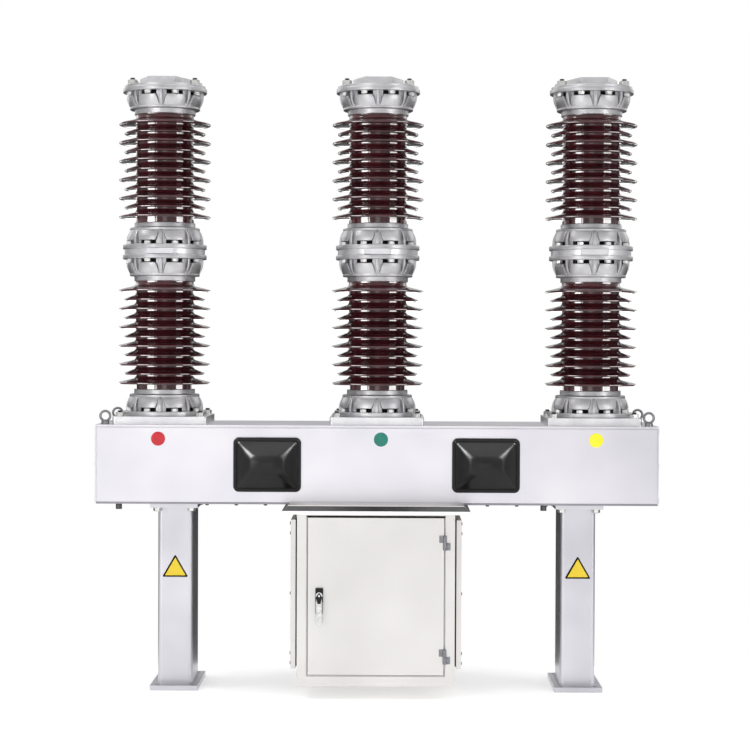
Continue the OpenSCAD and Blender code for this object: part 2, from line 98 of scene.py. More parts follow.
@dataclass
class Shape:
    """A polygon surface held as arrays.

    Args:
        points: array (n, 3) of positions.
        faces: list of vertex index lists, outward by the right-hand rule.
    """

    points: np.ndarray
    faces: list[list[int]]

    def moved(self, x: float = 0.0, y: float = 0.0, z: float = 0.0) -> "Shape":
        """Returns the shape shifted by (x, y, z)."""
        return Shape(self.points + np.array([x, y, z]), self.faces)

    def turned(self, axis: Axis, degrees: float) -> "Shape":
        """Turns the shape about an axis through the origin.

        In the plane of the two mixed coordinates (a, b) it becomes (a cos t - b sin t, a sin t + b cos t).

        Args:
            axis: the axis.
            degrees: angle by the right-hand rule.

        Returns:
            The turned shape.
        """
        angle = math.radians(degrees)
        a, b = axis.value
        matrix = np.eye(3)
        matrix[[a, b], [a, b]] = math.cos(angle)
        matrix[[a, b], [b, a]] = -math.sin(angle), math.sin(angle)
        return Shape(self.points @ matrix.T, self.faces)

    def flipped(self) -> "Shape":
        """Returns the shape mirrored in z = 0, with its faces turned so that they still point outwards."""
        return Shape(self.points * np.array([1.0, 1.0, -1.0]), [face[::-1] for face in self.faces])


def joined(shapes: list[Shape]) -> Shape:
    """Puts several shapes into one.

    Args:
        shapes: the shapes, in order.

    Returns:
        One shape whose indices run on from one to the next.
    """
    starts = np.cumsum([0] + [len(shape.points) for shape in shapes])
    faces = [
        [index + int(start) for index in face]
        for shape, start in zip(shapes, starts)
        for face in shape.faces
    ]
    return Shape(np.concatenate([shape.points for shape in shapes]), faces)


def ring_of(shape: Shape, count: int, first_deg: float) -> Shape:
    """Repeats a shape round the z axis.

    Args:
        shape: the shape at angle zero.
        count: number of copies on the full circle.
        first_deg: angle of the first copy.

    Returns:
        All copies as one shape.
    """
    return joined([shape.turned(Axis.Z, first_deg + 360.0 * i / count) for i in range(count)])


def grid_faces(rows: int, columns: int, close_rows: bool, close_columns: bool) -> list[list[int]]:
    """Quads of a grid whose point (i, j) has index i * columns + j.

    Args:
        rows: number of rows of points.
        columns: number of points in a row.
        close_rows: whether the last row joins the first.
        close_columns: whether each row is a closed loop.

    Returns:
        The quads as index lists.
    """
    i, j = np.meshgrid(
        np.arange(rows if close_rows else rows - 1),
        np.arange(columns if close_columns else columns - 1),
        indexing="ij",
    )
    next_i, next_j = (i + 1) % rows, (j + 1) % columns
    quads = np.stack([i * columns + j, i * columns + next_j, next_i * columns + next_j, next_i * columns + j], -1)
    return quads.reshape(-1, 4).tolist()


def lathe(profile: np.ndarray, segments: int = 96) -> Shape:
    """Surface of revolution: each profile point (r, z) goes round the z axis as (r cos t, r sin t, z).

    Args:
        profile: array (n, 2) of radius and height, from the lower pole to the upper one. A radius of
            zero at an end closes that end with a fan to one point.
        segments: number of steps round the axis.

    Returns:
        A closed shape with faces outwards.
    """
    profile = np.asarray(profile, dtype=float)
    body = profile[1:-1]
    angle = np.linspace(0.0, 2.0 * math.pi, segments, endpoint=False)
    points = np.stack(
        [
            body[:, 0, None] * np.cos(angle),
            body[:, 0, None] * np.sin(angle),
            np.repeat(body[:, 1, None], segments, axis=1),
        ],
        -1,
    ).reshape(-1, 3)
    faces = grid_faces(len(body), segments, False, True)
    low, high = len(points), len(points) + 1
    last = (len(body) - 1) * segments
    faces += [[low, (j + 1) % segments, j] for j in range(segments)]
    faces += [[high, last + j, last + (j + 1) % segments] for j in range(segments)]
    ends = np.array([[0.0, 0.0, profile[0, 1]], [0.0, 0.0, profile[-1, 1]]])
    return Shape(np.concatenate([points, ends]), faces)


def rounded_profile(corners: list[tuple[float, float, float]], steps: int = 4) -> np.ndarray:
    """Open polyline whose corners are replaced by arcs tangent to both sides.

    An arc about centre c from its first point c + a is c + a cos t + b sin t, b being a turned by 90 degrees.

    Args:
        corners: points (r, z, radius); a radius of zero keeps the corner.
        steps: number of steps on an arc.

    Returns:
        Array (n, 2) of the rounded line.
    """
    line: list[np.ndarray] = []
    for k, (x, y, radius) in enumerate(corners):
        here = np.array([x, y])
        if radius == 0.0 or k in (0, len(corners) - 1):
            line.append(here[None])
            continue
        before = np.array(corners[k - 1][:2]) - here
        after = np.array(corners[k + 1][:2]) - here
        before_len, after_len = np.linalg.norm(before), np.linalg.norm(after)
        before, after = before / before_len, after / after_len
        half = 0.5 * math.acos(float(np.clip(before @ after, -1.0, 1.0)))
        reach = min(radius / math.tan(half), 0.49 * before_len, 0.49 * after_len)
        real = reach * math.tan(half)
        centre = here + (before + after) / np.linalg.norm(before + after) * real / math.sin(half)
        start, end = here + before * reach - centre, here + after * reach - centre
        sweep = math.atan2(start[0] * end[1] - start[1] * end[0], float(start @ end))
        t = np.linspace(0.0, sweep, steps + 1)[:, None]
        across = np.array([-start[1], start[0]])
        line.append(centre + np.cos(t) * start + np.sin(t) * across)
    return np.concatenate(line)


def rounded_outline(corners: list[tuple[float, float]], radius: float, steps: int = 5) -> np.ndarray:
    """Closed counter-clockwise outline with round corners.

    Args:
        corners: corner points, counter-clockwise.
        radius: corner radius.
        steps: number of steps on a corner.

    Returns:
        Array (n, 2), not repeating its first point.
    """
    loop = [(x, y, radius) for x, y in [corners[-1], *corners, corners[0]]]
    return rounded_profile(loop, steps)[1:-1]


def box_outline(width: float, height: float, radius: float, steps: int = 5) -> np.ndarray:
    """Returns a centred rectangle with round corners, counter-clockwise."""
    w, h = width / 2.0, height / 2.0
    return rounded_outline([(-w, -h), (w, -h), (w, h), (-w, h)], radius, steps)


def outline_normals(outline: np.ndarray) -> np.ndarray:
    """Outward mitre vectors of a closed counter-clockwise outline.

    Args:
        outline: array (n, 2).

    Returns:
        Array (n, 2); moving a point by one vector moves both its sides by one unit.
    """
    ahead = np.roll(outline, -1, axis=0) - outline
    behind = outline - np.roll(outline, 1, axis=0)
    ahead /= np.linalg.norm(ahead, axis=1, keepdims=True)
    behind /= np.linalg.norm(behind, axis=1, keepdims=True)
    normal_a = np.stack([ahead[:, 1], -ahead[:, 0]], -1)
    normal_b = np.stack([behind[:, 1], -behind[:, 0]], -1)
    mean = normal_a + normal_b
    return 2.0 * mean / np.sum(mean * mean, axis=1, keepdims=True)


def ringed(rings: np.ndarray) -> Shape:
    """Closed body from rings of points, each joined to the next by quads, with one face at each end.

    Args:
        rings: array (m, n, 3); each ring runs counter-clockwise as seen from the last one.

    Returns:
        The body.
    """
    rows, count = rings.shape[:2]
    top = (rows - 1) * count
    ends = [list(range(count))[::-1], [top + j for j in range(count)]]
    return Shape(rings.reshape(-1, 3), grid_faces(rows, count, False, True) + ends)


def stack(outline: np.ndarray, levels: np.ndarray) -> Shape:
    """Closed body made by carrying an outline up through levels.

    Point (j, k) is the outline's point j moved inwards by the inset of level k, at the height of level k.

    Args:
        outline: array (n, 2), counter-clockwise.
        levels: array (m, 2) of inset and height, upwards.

    Returns:
        The shape, closed by one face at each end.
    """
    normals = outline_normals(outline)
    flat = outline[None] - levels[:, 0, None, None] * normals[None]
    heights = np.repeat(levels[:, 1, None, None], len(outline), axis=1)
    return ringed(np.concatenate([flat, heights], -1))


def slab(outline: np.ndarray, low: float, high: float, edge: float, steps: int = 3) -> Shape:
    """Plate with rounded rims: at both ends the inset follows a quarter circle.

    Args:
        outline: array (n, 2), counter-clockwise.
        low: height of the lower face.
        high: height of the upper face.
        edge: radius of the rims.
        steps: number of steps on a rim.

    Returns:
        The closed plate.
    """
    t = np.linspace(0.0, math.pi / 2.0, steps + 1)
    lower = np.stack([edge * (1.0 - np.sin(t)), low + edge * (1.0 - np.cos(t))], -1)
    upper = np.stack([lower[::-1, 0], high + low - lower[::-1, 1]], -1)
    return stack(outline, np.concatenate([lower, upper]))


def hoop(path: np.ndarray, radius: np.ndarray, sides: int) -> Shape:
    """Round bar along a flat loop: point (i, j) is path i plus radius i times (cos t side i + sin t normal).

    Args:
        path: array (n, 3), a loop in one plane.
        radius: array (n,) of the bar's radius at each point.
        sides: number of sides of the bar.

    Returns:
        The closed bar.
    """
    along = np.roll(path, -1, axis=0) - np.roll(path, 1, axis=0)
    along /= np.linalg.norm(along, axis=1, keepdims=True)
    middle = path.mean(axis=0)
    normal = np.cross(path[0] - middle, path[len(path) // 3] - middle)
    normal /= np.linalg.norm(normal)
    side = np.cross(normal, along)
    angle = np.linspace(0.0, 2.0 * math.pi, sides, endpoint=False)
    circle = np.cos(angle)[None, :, None] * side[:, None] + np.sin(angle)[None, :, None] * normal
    points = path[:, None] + radius[:, None, None] * circle
    return Shape(points.reshape(-1, 3), grid_faces(len(path), sides, True, True))


def hex_outline(across_flats: float) -> np.ndarray:
    """Returns a regular hexagon, counter-clockwise."""
    angle = np.radians(np.arange(6) * 60.0)
    return across_flats / math.sqrt(3.0) * np.stack([np.cos(angle), np.sin(angle)], -1)


@dataclass(frozen=True)
class Bolt:
    """A hexagon fastener with its washer and thread end, standing on z = 0.

    Args:
        across_flats: width of the hexagon.
        height: height of the hexagon.
        washer_r: radius of the washer.
        washer_t: thickness of the washer.
        stud_r: radius of the thread end, or zero for a plain head.
        stud_h: height of the thread end above the hexagon.
    """

    across_flats: float
    height: float
    washer_r: float
    washer_t: float
    stud_r: float = 0.0
    stud_h: float = 0.0

    def head(self) -> Shape:
        """Returns washer and hexagon; the hexagon's corners are cut back towards its top."""
        chamfer = 0.12 * self.across_flats
        levels = np.array([[0.0, 0.0], [0.0, self.height - chamfer * 0.5], [chamfer, self.height]])
        hexagon = stack(hex_outline(self.across_flats), levels).moved(z=self.washer_t)
        edge = self.washer_t * 0.3
        washer = lathe(
            rounded_profile(
                [(0, 0, 0), (self.washer_r, 0, edge), (self.washer_r, self.washer_t, edge), (0, self.washer_t, 0)],
                2,
            ),
            24,
        )
        return joined([washer, hexagon])

    def stud(self) -> Shape:
        """Returns the thread end: a bar whose radius swings by a tenth once per thread turn."""
        low = self.washer_t + self.height * 0.5
        high = self.washer_t + self.height + self.stud_h
        z = np.linspace(low, high - 0.2 * self.stud_r, 18)
        r = self.stud_r * (1.0 - 0.05 * (1.0 + np.cos(np.arange(18) * math.pi)))
        line = np.concatenate([[[0.0, low]], np.stack([r, z], -1), [[self.stud_r * 0.8, high], [0.0, high]]])
        return lathe(line, 16)


def pan_head(radius: float, height: float) -> Shape:
    """Domed screw head on z = 0 with a hexagon socket sunk in its top.

    The profile rises straight, then follows a quarter ellipse to the socket's rim, and drops into it.

    Args:
        radius: radius of the head.
        height: height of the head.

    Returns:
        The head.
    """
    t = np.linspace(0.0, math.pi / 2.0, 6)[:-1]
    dome = np.stack([radius * (0.45 + 0.55 * np.cos(t)), height * (0.35 + 0.65 * np.sin(t))], -1)
    socket = [[0.45 * radius, height], [0.4 * radius, 0.45 * height], [0.0, 0.45 * height]]
    return lathe(np.concatenate([[[0.0, 0.0], [radius, 0.0]], dome, socket]), 20)


# ---------------------------------------------------------------- finishes


def linear(hex_colour: str) -> tuple[float, float, float, float]:
    """Turns an sRGB hex colour into linear RGBA.

    Args:
        hex_colour: six hex digits after a "#".

    Returns:
        Linear red, green, blue and an alpha of one.
    """
    parts = [int(hex_colour[i : i + 2], 16) / 255.0 for i in (1, 3, 5)]
    r, g, b = (c / 12.92 if c <= 0.04045 else ((c + 0.055) / 1.055) ** 2.4 for c in parts)
    return (r, g, b, 1.0)


def add_node(tree: bpy.types.NodeTree, kind: str, settings: dict, links: dict) -> bpy.types.Node:
    """Adds one shader node.

    Args:
        tree: the node tree.
        kind: the node's type name without its "ShaderNode" prefix.
        settings: attributes by name, and input defaults under ("in", input name or index).
        links: input name or index to (node, output name or index).

    Returns:
        The new node.
    """
    node = tree.nodes.new("ShaderNode" + kind)
    for key, value in settings.items():
        if isinstance(key, tuple):
            node.inputs[key[1]].default_value = value
        else:
            setattr(node, key, value)
    for key, (source, output) in links.items():
        tree.links.new(source.outputs[output], node.inputs[key])
    return node


class Grain(Enum):
    """Direction in which a brushed sheet was ground."""

    ALONG_X = (0.02, 1.0, 1.0)
    ALONG_Z = (1.0, 1.0, 0.02)


@dataclass(frozen=True)
class Nodes:
    """The nodes of one material while it is being made.

    Args:
        tree: the material's node tree.
        shader: its principled shader.
        place: its texture coordinate node.
    """

    tree: bpy.types.NodeTree
    shader: bpy.types.Node
    place: bpy.types.Node

    def pattern(
        self, period_mm: float, detail: float, stretch: tuple[float, ...] = (1.0, 1.0, 1.0)
    ) -> bpy.types.Node:
        """Adds a noise on the object's own coordinates.

        Args:
            period_mm: size of one blotch.
            detail: octaves of finer noise.
            stretch: scale along x, y and z; a small number draws the blotches out.

        Returns:
            The noise node.
        """
        mapping = add_node(self.tree, "Mapping", {("in", "Scale"): stretch}, {"Vector": (self.place, "Object")})
        return add_node(
            self.tree,
            "TexNoise",
            {("in", "Scale"): 1.0 / (period_mm * MM), ("in", "Detail"): detail, ("in", "Roughness"): 0.55},
            {"Vector": (mapping, "Vector")},
        )

    def tint(self, noise: bpy.types.Node, low: str, high: str) -> None:
        """Runs the base colour between two hex colours along a noise.

        Args:
            noise: the noise that drives it.
            low: colour at the noise's low end.
            high: colour at its high end.
        """
        ramp = add_node(self.tree, "ValToRGB", {}, {"Fac": (noise, "Fac")})
        for element, position, colour in zip(ramp.color_ramp.elements, (0.3, 0.7), (low, high)):
            element.position, element.color = position, linear(colour)
        self.tree.links.new(ramp.outputs["Color"], self.shader.inputs["Base Color"])

    def relief(self, height: bpy.types.Node, depth_mm: float, edge_mm: float) -> None:
        """Adds a bump on top of softly rounded edges.

        Args:
            height: node whose "Fac" output is the height.
            depth_mm: height of the bump from low to high.
            edge_mm: radius that sharp edges seem to have.
        """
        rounding = add_node(self.tree, "Bevel", {"samples": 4, ("in", "Radius"): edge_mm * MM}, {})
        settings = {("in", "Distance"): depth_mm * MM, ("in", "Strength"): 1.0}
        bump = add_node(self.tree, "Bump", settings, {"Height": (height, "Fac"), "Normal": (rounding, "Normal")})
        self.tree.links.new(bump.outputs["Normal"], self.shader.inputs["Normal"])


@dataclass(frozen=True)
class Finish:
    """What all finishes share: a name, a base colour and a roughness.

    Args:
        name: the real material's name.
        colour: sRGB hex colour.
        roughness: microfacet roughness.
        metallic: 1 for bare metal, 0 for the rest.
    """

    name: str
    colour: str
    roughness: float
    metallic: float = 0.0

    def material(self) -> bpy.types.Material:
        """Returns the material, made on first use."""
        found = bpy.data.materials.get(self.name)
        if found:
            return found
        made = bpy.data.materials.new(self.name)
        made.use_nodes = True
        tree = made.node_tree
        tree.nodes.clear()
        output = add_node(tree, "OutputMaterial", {}, {})
        settings = {
            ("in", "Base Color"): linear(self.colour),
            ("in", "Roughness"): self.roughness,
            ("in", "Metallic"): self.metallic,
        }
        shader = add_node(tree, "BsdfPrincipled", settings, {})
        tree.links.new(shader.outputs["BSDF"], output.inputs["Surface"])
        self.detail(Nodes(tree, shader, add_node(tree, "TexCoord", {}, {})))
        return made

    def detail(self, nodes: Nodes) -> None:
        """Adds the finish's own pattern nodes; each kind has its own."""


@dataclass(frozen=True)
class BrushedSheet(Finish):
    """Stainless steel sheet ground with a belt: fine straight lines, soft stretched highlights.

    Args:
        grain: direction of the lines.
        dark: colour of the cloudy darker patches that rolling leaves.
    """

    grain: Grain = Grain.ALONG_X
    dark: str = "#c8c8cc"

    def detail(self, nodes: Nodes) -> None:
        """Lays lines 3 mm apart, coarser than real grinding marks so that they show, over clouds of 350 mm.

        Args:
            nodes: the material's nodes.
        """
        lines = nodes.pattern(3.0, 3.0, self.grain.value)
        nodes.tint(nodes.pattern(350.0, 2.0), self.dark, self.colour)
        limits = {("in", "To Min"): self.roughness - 0.06, ("in", "To Max"): self.roughness + 0.08}
        spread = add_node(nodes.tree, "MapRange", limits, {"Value": (lines, "Fac")})
        nodes.tree.links.new(spread.outputs["Result"], nodes.shader.inputs["Roughness"])
        nodes.relief(lines, 0.03, 1.5)


@dataclass(frozen=True)
class SandCast(Finish):
    """Sand-cast aluminium alloy, silver painted: a dull satin grey with the sand's grain.

    Args:
        dark: colour of the duller patches.
    """

    dark: str = "#8f9094"

    def detail(self, nodes: Nodes) -> None:
        """Lays a grain of 2.5 mm over stains of 60 mm.

        Args:
            nodes: the material's nodes.
        """
        nodes.tint(nodes.pattern(60.0, 4.0), self.dark, self.colour)
        nodes.relief(nodes.pattern(2.5, 2.0), 0.25, 2.0)


@dataclass(frozen=True)
class Glaze(Finish):
    """Brown-glazed electrical porcelain: glassy, deep, a little uneven where the glaze ran.

    Args:
        pale: colour where the glaze is thin.
    """

    pale: str = "#371116"

    def detail(self, nodes: Nodes) -> None:
        """Adds a clear coat, colour runs of 45 mm and a ripple of 14 mm that breaks up the lamps' reflections.

        Args:
            nodes: the material's nodes.
        """
        nodes.shader.inputs["Specular IOR Level"].default_value = 0.3
        nodes.shader.inputs["Coat Weight"].default_value = 0.8
        nodes.shader.inputs["Coat Roughness"].default_value = 0.05
        nodes.tint(nodes.pattern(45.0, 3.0, (1.0, 1.0, 0.4)), self.colour, self.pale)
        nodes.relief(nodes.pattern(14.0, 1.0), 0.25, 0.5)


@dataclass(frozen=True)
class Moulded(Finish):
    """Moulded plastic, rubber or enamel: an even colour with a fine skin texture.

    Args:
        skin_mm: size of the skin's grain.
        skin_depth_mm: height of the grain.
        pale: colour of faint scuffs.
        gloss: the shader's specular level.
    """

    skin_mm: float = 1.5
    skin_depth_mm: float = 0.03
    pale: str = "#202022"
    gloss: float = 0.5

    def detail(self, nodes: Nodes) -> None:
        """Adds the skin's grain, and scuffs of 30 mm that pale the colour a little.

        Args:
            nodes: the material's nodes.
        """
        nodes.shader.inputs["Specular IOR Level"].default_value = self.gloss
        nodes.tint(nodes.pattern(30.0, 4.0), self.colour, self.pale)
        nodes.relief(nodes.pattern(self.skin_mm, 1.0), self.skin_depth_mm, 1.0)


@dataclass(frozen=True)
class Plated(Finish):
    """Plated or blackened steel: bright or dark, with a faint cloudy film.

    Args:
        dark: colour under the thin spots of the plating.
    """

    dark: str = "#cfcfcc"

    def detail(self, nodes: Nodes) -> None:
        """Lays film patches of 8 mm.

        Args:
            nodes: the material's nodes.
        """
        film = nodes.pattern(8.0, 3.0)
        nodes.tint(film, self.dark, self.colour)
        nodes.relief(film, 0.02, 0.8)


@dataclass(frozen=True)
class LitSheet(Finish):
    """White acrylic with light behind it: an even pale glow that hides its own edge.

    Args:
        glow: radiance that comes through the sheet.
    """

    glow: float = 0.35

    def detail(self, nodes: Nodes) -> None:
        """Adds the light that comes through.

        Args:
            nodes: the material's nodes.
        """
        nodes.shader.inputs["Emission Color"].default_value = (1.0, 1.0, 1.0, 1.0)
        nodes.shader.inputs["Emission Strength"].default_value = self.glow
        nodes.shader.inputs["Specular IOR Level"].default_value = 0.1


# Stainless sheet: pale and faintly violet, its grinding lines smear the lamps into soft bands along them.
BEAM_STEEL = BrushedSheet("brushed_stainless_beam", "#e2e0e5", 0.36, 1.0, Grain.ALONG_X, "#d0ced5")
LEG_STEEL = BrushedSheet("brushed_stainless_leg", "#d6d5da", 0.34, 1.0, Grain.ALONG_Z, "#bcbbc2")
# The cabinet's sheet is a little warmer, and ground upright.
CABINET_STEEL = BrushedSheet("brushed_stainless_cabinet", "#dcdad8", 0.38, 1.0, Grain.ALONG_Z, "#cfcdcb")
# The roof's sheet is near white and half diffuse: a painted reflection that stands in for the beam's bright front
# mirrored in its top.
ROOF_PAINTED_REFLECTION = BrushedSheet("brushed_stainless_roof", "#f4f3f5", 0.36, 0.7, Grain.ALONG_X, "#eae9ec")
# Sheet under the beam, darker and duller than the ground sheet: painted shade, its front edge drawn as the shadow
# line along the beam's lower edge.
BEAM_UNDERSIDE_PAINTED_SHADE = BrushedSheet("mill_finish_stainless_beam", "#9b9aa0", 0.42, 1.0, Grain.ALONG_X, "#8a898f")
# Cast flanges: a silver satin whose grain keeps highlights broad; inside the pockets a near-black skin of painted
# shade.
CAST_ALLOY = SandCast("sand_cast_aluminium", "#cdccce", 0.4, 0.9, "#b2b1b4")
POCKET_PAINTED_SHADE = SandCast("oxidised_casting_skin", "#1b1a1c", 0.7, 0.2, "#121213")
# Contact plates: the caps are grey from tinning, the flat plates nearly white from the mill.
TERMINAL_ALLOY = SandCast("tinned_aluminium_plate", "#d3d2d4", 0.42, 0.95, "#bebdc0")
PLATE_ALLOY = SandCast("milled_aluminium_plate", "#e6e5e7", 0.36, 0.95, "#d4d3d6")
# Glaze: almost black in the shade, wine red where light gets in, with hard bright streaks on every shed.
PORCELAIN = Glaze("brown_glazed_porcelain", "#1f0709", 0.14)
# Black plastics: the lock and sign borders are sharp and glossy, and the same black on the lever's sides is a painted
# dark reflection; the covers show broad grey glows on their hips.
BLACK_GLOSS = Moulded("black_abs_moulding", "#09090a", 0.16, 0.0, 1.2, 0.02, "#111112", 0.28)
COVER_GLOSS = Moulded("black_polished_cover", "#070708", 0.3, 0.0, 1.2, 0.01, "#0d0d0e", 0.3)
# Roof skirts: dark grey, a painted dark reflection on the sloping stainless bevel; dull black rubber at the joints,
# pale foam round the door.
ROOF_SKIRT_PAINTED_REFLECTION = Moulded("dark_grey_edge_trim", "#2b2b2c", 0.22, 0.0, 1.2, 0.02, "#353536", 0.5)
BLACK_RUBBER = Moulded("black_epdm_rubber", "#0b0b0c", 0.62, 0.0, 0.8, 0.05, "#1a1a1b")
PALE_FOAM = Moulded("pale_grey_foam_seal", "#d9d8d6", 0.8, 0.0, 2.0, 0.05, "#cfcecc", 0.3)
# Fasteners: bright zinc that glints, dull galvanised eyes, black screws; the nuts in the bells' shaded pockets get a
# whiter, more diffuse copy of the zinc, painted light against that shade.
ZINC = Plated("zinc_plated_steel", "#ededea", 0.26, 1.0)
NUT_ZINC_PAINTED_LIGHT = Plated("bright_zinc_plated_nut", "#f6f6f4", 0.4, 0.5, "#ececea")
GALVANISED = Plated("hot_dip_galvanised_steel", "#8f8f93", 0.36, 1.0, "#77777b")
DARK_STEEL = Plated("blackened_steel", "#6a6a6e", 0.36, 1.0, "#38383b")
# The lever's chrome is satin, so it shows as a light blade without hard reflections.
SATIN_CHROME = Plated("satin_chrome_zinc_alloy", "#dcdcdc", 0.24, 1.0, "#b4b4b4")
# Enamels: saturated, even and smooth, with a small gloss.
RED_ENAMEL = Moulded("red_enamel", "#c9202c", 0.3, 0.0, 1.2, 0.01, "#b81a26")
GREEN_ENAMEL = Moulded("green_enamel", "#0d7f6f", 0.3, 0.0, 1.2, 0.01, "#0a7263")
YELLOW_ENAMEL = Moulded("yellow_enamel", "#f4ee2c", 0.3, 0.0, 1.2, 0.01, "#ebe428")
AMBER_ENAMEL = Moulded("amber_enamel", "#edcf2a", 0.32, 0.0, 1.2, 0.01, "#e4c524")


# ---------------------------------------------------------------- putting pieces into the scene


def piece(
    name: str,
    shape: Shape,
    finish: Finish,
    body: str = FRAME_BODY,
    replaces: tuple[str, ...] = (),
    smooth: float = 35.0,
) -> None:
    """Makes one visible piece from a shape and reports it.

    Args:
        name: the piece's name.
        shape: its surface.
        finish: its finish.
        body: CAD body that it rides on.
        replaces: CAD nodes that it stands for.
        smooth: faces that meet at less than this many degrees are shaded as one surface.
    """
    mesh = bpy.data.meshes.new(name)
    mesh.from_pydata(shape.points.tolist(), [], shape.faces)
    mesh.validate()
    mesh.set_sharp_from_angle(angle=math.radians(smooth))
    mesh.polygons.foreach_set("use_smooth", np.ones(len(mesh.polygons), dtype=bool))
    mesh.materials.append(finish.material())
    made = bpy.data.objects.new(name, mesh)
    bpy.context.scene.collection.objects.link(made)
    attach(made, body)
    if replaces:
        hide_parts(*replaces)
    LOG.info("piece %s: %d points, %d faces, on %s", name, len(shape.points), len(shape.faces), body)


def dress(node: str, finish: Finish) -> None:
    """Gives a CAD node its finish.

    Args:
        node: the node's name.
        finish: the finish that it gets.
    """
    target = frame["nodes"][node]
    target.data.materials.clear()
    target.data.materials.append(finish.material())
    LOG.info("node %s: %s", node, finish.name)


def corners(node: str) -> tuple[np.ndarray, np.ndarray]:
    """Returns a node's lowest and highest corners as arrays."""
    low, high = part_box(node)
    return np.array(low), np.array(high)


def fasteners(prefix: str, kind: str, bolt: Bolt, places: list[tuple[float, float, float]], turn_deg: float) -> None:
    """Sets the same nut or bolt with its dark thread end at several places.

    Args:
        prefix: first part of both pieces' names.
        kind: "bolts" or "nuts", the last part of the hexagons' name.
        bolt: the fastener.
        places: where each stands.
        turn_deg: turn of the hexagons about the upright axis.
    """
    heads = [bolt.head().turned(Axis.Z, turn_deg).moved(*place) for place in places]
    studs = [bolt.stud().moved(*place) for place in places]
    piece(f"{prefix}_{kind}", joined(heads), ZINC)
    piece(f"{prefix}_studs", joined(studs), DARK_STEEL)


# ---------------------------------------------------------------- sub-assemblies


